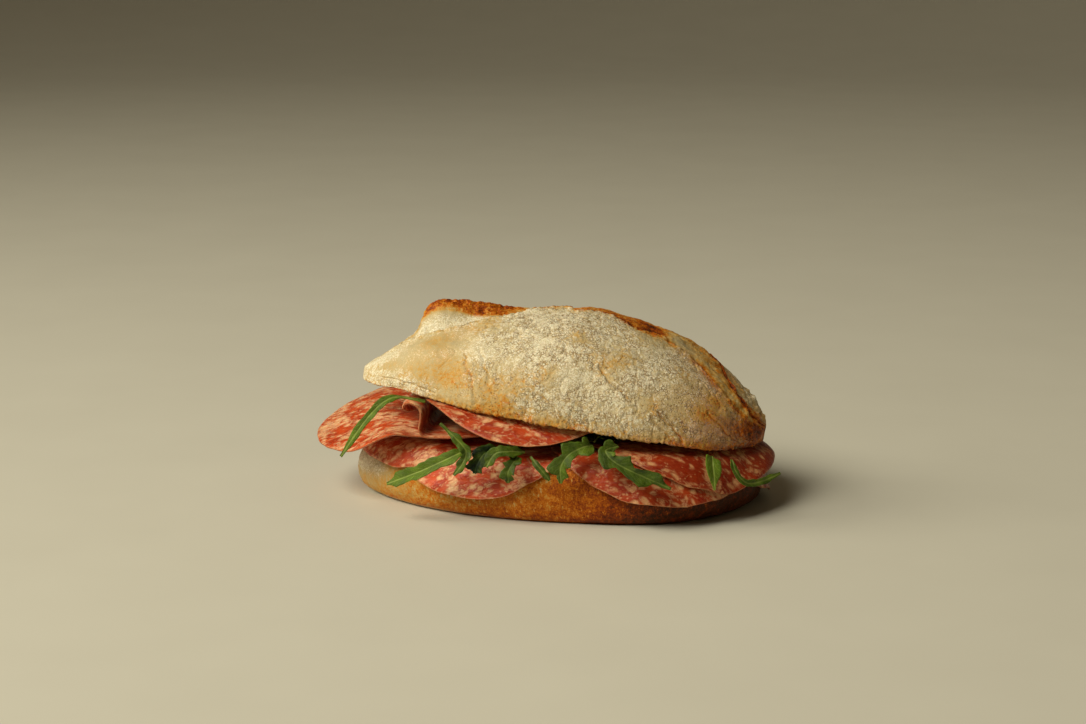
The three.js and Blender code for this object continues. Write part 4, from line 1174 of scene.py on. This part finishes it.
# %% Mesh of a leaf
def leaf_mesh(spine, width, lobes, depth, stalk, facing, wave, light, number,
              length_steps=120, side_steps=12):
    """Points, faces and kept values of one leaf."""
    place, along = curve_through(spine, length_steps + 1)
    part = np.linspace(0, 1, length_steps + 1)
    facing = np.array(facing, float) / np.linalg.norm(facing)
    side = np.cross(along, facing)
    side /= np.linalg.norm(side, axis=1, keepdims=True)
    face = np.cross(side, along)
    taper = 0.74 if depth else 0.3
    blade = soft_step(part, stalk, stalk + 0.16) * (1 - soft_step(part, taper, 1.02) ** 1.4)
    half = np.stack([0.45 + (width / 2 - 0.45) * blade * lobe_line(part, lobes, depth, shift, number)
                     for shift in (0.0, 0.43)], 1)
    walked = np.concatenate([[0], np.cumsum(np.linalg.norm(np.diff(place, axis=0), axis=1))])
    across = np.linspace(-1, 1, side_steps + 1)
    grid_part, grid_across = np.meshgrid(part, across, indexing="ij")
    reach = grid_across * np.where(grid_across < 0, half[:, :1], half[:, 1:])
    ripple = wave * grid_across**2 * np.sin(2 * np.pi * lobes * grid_part + 1)
    ripple += 0.30 * np.abs(reach) * soft_step(half.max(1), 0.8, 2.4)[:, None]
    ripple += 0.45 * wave * np.abs(grid_across) * np.sin(2 * np.pi * (lobes * 3 * grid_part + number * 0.37))
    forward = 0.42 * np.abs(reach) * soft_step(grid_part, 0.05, 0.25) * (1 - soft_step(grid_part, 0.8, 1))
    surface = place[:, None] + side[:, None] * reach[..., None] + face[:, None] * ripple[..., None]
    surface = surface + along[:, None] * forward[..., None]
    surface = surface.reshape(-1, 3)
    columns = side_steps + 1
    face_quads = grid_faces(length_steps + 1, columns, False)
    normal = normals_of(surface, face_quads)
    rib = bell(reach.ravel(), 0.55)
    thin = 0.16 * (1 - 0.5 * np.abs(grid_across.ravel()) ** 6)
    upper, lower = surface + normal * thin[:, None], surface - normal * (thin + 0.3 * rib)[:, None]
    count = len(surface)
    rows = np.arange(length_steps)
    first_column, last_column = rows * columns, rows * columns + side_steps
    top_row = np.arange(side_steps)
    end_row = length_steps * columns + top_row
    border = np.vstack([
        np.stack([first_column, first_column + columns], 1), np.stack([end_row, end_row + 1], 1),
        np.stack([last_column + columns, last_column], 1), np.stack([top_row + 1, top_row], 1)])
    walls = np.stack([border[:, 0], border[:, 1], border[:, 1] + count, border[:, 0] + count], 1)
    quads = np.vstack([face_quads, face_quads[:, ::-1] + count, walls])
    flat = np.stack([
        np.repeat(walked, columns) + number * 23, reach.ravel(), np.full(count, number * 5.0)], 1)
    kept = {"flat": np.vstack([flat, flat]), "light": np.repeat([light, light + 0.18], count)}
    return np.vstack([upper, lower]), quads, kept


try_out = leaf_mesh([[0, 0, 0], [20, 0, 0], [40, 0, 0]], 6, 2, 0.4, 0, (0, 0, 1), 0.3, 0.5, 0)
print("a leaf has", len(try_out[0]), "points and", len(try_out[1]), "faces")

# %% [markdown]
# The leaves that hang out in front could be scattered by chance, but then none would lie as the real
# ones do. They are placed one by one, each by the line of its midrib: the line, its width, how many
# lobes it has and how deep, where its stalk ends, the way it faces, its wave and its shade of green.
# Some show their paler underside. Three more hang out at the back.

# %% Leaves in front and at the back
UP = (0, -0.8, 0.6)
LEAVES = {
    "leaf_left": ([[-46, -35.5, 44], [-55.4, -38.5, 46.2], [-60.6, -41, 44.8], [-65.8, -43.5, 39.9],
                   [-71.5, -44.5, 32.2], [-77, -44.5, 23.8]], 4.0, 2, 0.25, 0.15, UP, 0.3, 0.6),
    "leaf_lower_left": ([[-27, -46.5, 29.4], [-34.1, -50.5, 26.2], [-43.6, -51.5, 21.6], [-51.7, -50, 17.8],
                         [-58.6, -48, 14.6]], 6.2, 2, 0.2, 0.05, UP, 0.3, 0.62),
    "leaf_stem": ([[-37.7, -50, 39.2], [-31.9, -52, 34.4], [-27.6, -53, 29.6], [-28.6, -54, 25.2],
                   [-31.9, -54.5, 20.6]], 4.4, 2, 0.35, 0.1, UP, 0.3, 0.42),
    "leaf_dark": ([[-15.5, -44.5, 29.2], [-20.5, -48.5, 28.4], [-23.4, -51.4, 24.6], [-24.5, -52.4, 21]],
                  7.5, 2, 0.3, 0.05, UP, 0.3, 0.1),
    "leaf_arched": ([[-6.5, -45.6, 28.2], [-12.2, -51.6, 29.6], [-16.8, -52.4, 28.6], [-19.8, -54, 24]],
                    5.4, 2, 0.25, 0, UP, 0.3, 0.4),
    "leaf_middle": ([[-8.8, -48.4, 27], [-9.8, -52.4, 25.6], [-11.5, -54, 22.4], [-11.4, -54.8, 18.4]],
                    6.4, 2, 0.45, 0, UP, 0.3, 0.3),
    "leaf_thin": ([[-3.8, -48.6, 27.2], [-1.2, -51.6, 25], [1.6, -52.6, 22.2], [4, -53.2, 19.6]],
                  2.6, 2, 0.1, 0.1, UP, 0.1, 0.35),
    "leaf_lobed": ([[18.8, -43.4, 31], [15.9, -48, 31.4], [10.8, -51.4, 29], [8, -52.6, 24.4],
                    [8.2, -53.4, 18.6]], 9.5, 2, 0.5, 0, UP, 0.4, 0.42),
    "leaf_broad": ([[28.6, -44.6, 31.4], [24.3, -48.6, 30.4], [28.4, -52, 26.8], [37.6, -53.4, 22.8],
                    [49.2, -53.4, 18]], 9.8, 2, 0.58, 0, UP, 0.4, 0.3),
    "leaf_short": ([[63.2, -39.4, 27.4], [63.6, -42.6, 25.6], [64.3, -44.4, 21.2], [64.8, -45.2, 16]],
                   6.4, 2, 0, 0, (0.5, -0.8, 0.4), 0.1, 0.7),
    "leaf_curled": ([[70.4, -37.6, 26], [72.2, -40, 21.8], [76.4, -38, 17.2], [82, -31, 16.6],
                     [88, -25, 18.2]], 3.1, 2, 0.3, 0, (0.6, -0.7, 0.4), 0.2, 0.45),
    "leaf_back_left": ([[-30, 45.5, 30.6], [-40, 49, 27.6], [-50, 50, 22.4], [-58, 49, 17]],
                       7, 2, 0.35, 0, (0, 0.8, 0.6), 0.3, 0.4),
    "leaf_back_middle": ([[6, 47.4, 30], [-2, 51.5, 27.4], [-6, 53.6, 22], [-5, 54.4, 16.6]],
                         8, 2, 0.45, 0, (0, 0.8, 0.6), 0.3, 0.5),
    "leaf_back_right": ([[42, 45.4, 28.6], [50, 47.6, 25.6], [56, 48.4, 20.8], [60, 48.6, 15.4]],
                        7, 2, 0.4, 0, (0.2, 0.8, 0.5), 0.3, 0.35),
}
for number, (name, shape) in enumerate(LEAVES.items()):
    points, quads, kept = leaf_mesh(*shape, number)
    settle(add_piece(name.replace("leaf", "rocket"), points, quads, values=kept), name, rocket)

# %% [markdown]
# ## The rocket inside
# Between the slices lies a loose heap of leaves. What shows of it is dark leaf edges and tips in the
# gap. Leaves dropped by a simulation would settle well, but slowly and never twice alike. So a crumpled
# core fills the middle, and leaves lie over and under each other round it, pointing outwards, each a
# little turned, between the slices below and the slices above.

# %% Core of the heap
def heap_floor(x):
    """Height of the slices below the heap."""
    level = 2 + 2 * (1 - soft_step(x, -7, 2))
    return cut_height(x) + CLEARANCE + PITCH * level + THICKNESS


def heap_roof(x):
    """Height of the slices above the heap."""
    return SEAT - np.tan(tilt) * x - 2.5 - THICKNESS


def heap_core():
    """A low crumpled wedge that fills the middle of the heap."""
    segments = 160
    around = np.arange(segments) / segments * 2 * np.pi
    out = np.linspace(0.1, 1, 24)
    outer, angle = np.meshgrid(np.concatenate([out, out[::-1]]), around, indexing="ij")
    side = np.repeat(np.array([-1.0, 1.0]), len(out))[:, None]
    ragged = 1 + 0.05 * np.sin(5 * angle + 1) + 0.03 * np.sin(11 * angle)
    x = -1.5 + 36 * outer * ragged * np.cos(angle)
    y = 31 * outer * ragged * np.sin(angle)
    low, high = heap_floor(x), heap_roof(x)
    half = np.maximum((high - low) / 2 - 0.5, 0.15)
    z = (low + high) / 2 + side * half * np.sqrt(1 - (outer * 0.97) ** 2)
    points = np.stack([x, y, z], -1).reshape(-1, 3)
    points[:, 2] += 0.35 * rough(points, 5, 3, 121) * np.minimum(1, half.ravel())
    quads = grid_faces(2 * len(out), segments, True)
    # The core is coloured almost black green, as painted shade in the gap between the slices.
    return points, quads, {"flat": points * np.array([1, 1, 3.0]), "light": np.full(len(points), 0.02)}


parts = [heap_core()]
print("core of the heap:", len(parts[0][0]), "points")

# %% Leaves of the heap
HEAP_LEAVES = 46


def heap_leaf(number):
    """One leaf of the heap: its place round the core, its way out and its looks are thrown with dice."""
    turn_out = 2 * np.pi * (number + 0.6 * dice.random()) / HEAP_LEAVES
    x, y = -1 + 30 * np.cos(turn_out), 22 * np.sin(turn_out)
    heading = np.arctan2(np.sin(turn_out) * 1.3, np.cos(turn_out)) + dice.uniform(-0.5, 0.5)
    reach = dice.uniform(13, 19) * (0.8 if abs(np.cos(turn_out)) > 0.8 else 1)
    height = dice.uniform(0.2, 0.8)
    spine = []
    for step in (0, 0.35, 0.7, 1):
        there = x + reach * step * np.cos(heading)
        aside = np.clip(y + reach * step * np.sin(heading), -41.5, 41.5)
        spine.append([there, aside, heap_floor(there) + (heap_roof(there) - heap_floor(there)) * height])
        heading += dice.uniform(-0.25, 0.25)
    width, facing = dice.uniform(5, 9), (dice.uniform(-0.5, 0.5), dice.uniform(-0.5, 0.5), 1)
    # Leaves of the heap get darker greens than those in front: partly their own colour, partly painted shade.
    return leaf_mesh(spine, width, 2, 0.4, 0, facing, 0.3, dice.uniform(0.0, 0.3), 40 + number, 30, 6)


parts += [heap_leaf(number) for number in range(HEAP_LEAVES)]
starts = np.cumsum([0] + [len(points) for points, _, _ in parts])
points = np.vstack([points for points, _, _ in parts])
quads = np.vstack([quads + start for (_, quads, _), start in zip(parts, starts)])
values = {"flat": np.vstack([kept["flat"] for _, _, kept in parts]),
          "light": np.concatenate([kept["light"] for _, _, kept in parts])}
settle(add_piece("rocket_inside", points, quads, values=values), "rocket_heap", rocket)

# %% [markdown]
# ## Floor and light
# A flat plane would do as a floor, but its far edge shows and it throws back no light from behind. A
# round floor that turns up into a backdrop on every side looks the same from every camera, and it is
# plain and pale so that only the food has a pattern.

# %% Floor
def bowl():
    """A round floor that turns up smoothly into a backdrop on every side."""
    arc = np.linspace(0, np.pi / 2, 20)
    radius = np.concatenate([[1, 500, 1000], 1600 + 1400 * np.sin(arc)])
    height = np.concatenate([[0, 0, 0], 1100 - 1100 * np.cos(arc)])
    around = np.arange(96) / 96 * 2 * np.pi
    radius, angle = np.meshgrid(radius, around, indexing="ij")
    height = np.repeat(height, 96)
    points = np.stack([(radius * np.cos(angle)).ravel(), (radius * np.sin(angle)).ravel(), height], 1)
    return points, grid_faces(len(points) // 96, 96, True)


floor_recipe = Recipe("floor")
tone = floor_recipe.noise(floor_recipe.place(), 60.0, 2.0)
pale = floor_recipe.mix(tone, (0.58, 0.545, 0.44, 1), (0.62, 0.585, 0.475, 1))
floor = add_piece("floor", *bowl())
floor.data.materials.append(floor_recipe.finish(Base_Color=pale, Roughness=0.6))
print("floor:", len(floor.data.polygons), "faces")

# %% [markdown]
# The sandwich was photographed in soft window light from the left and above, so its right end falls
# into shade. One small lamp would cast hard shadows, and an even sky none at all. So there are two
# large warm lamps on the same side: one stands for the window, one lights the front, and a dim warm
# room fills the shade.

# %% Lamps
def lamp(name, where, size, power, colour):
    """A square lamp that faces the sandwich, with a beam that keeps off the floor beside it."""
    data = bpy.data.lights.new(name, "AREA")
    data.size = size
    data.spread = np.radians(90)
    data.energy = power
    data.color = colour
    light = bpy.data.objects.new(name, data)
    light.location = where
    target = np.array([0, 0, 0.03]) - np.array(where)
    light.rotation_euler = (np.arctan2(np.hypot(target[0], target[1]), -target[2]), 0,
                            np.arctan2(target[1], target[0]) - np.pi / 2)
    bpy.context.scene.collection.objects.link(light)


lamp("window", (-2.0, -0.4, 1.25), 1.3, 7.4, (1.0, 0.96, 0.81))
lamp("front", (-0.95, -1.1, 1.6), 1.1, 10.7, (1.0, 0.96, 0.83))
world = bpy.data.worlds.new("room")
world.use_nodes = True
room = world.node_tree.nodes["Background"].inputs
room["Color"].default_value = (0.85, 0.68, 0.42, 1)
room["Strength"].default_value = 0.09
bpy.context.scene.world = world
bpy.context.scene.view_settings.view_transform = "Standard"
print("lamps: 2")
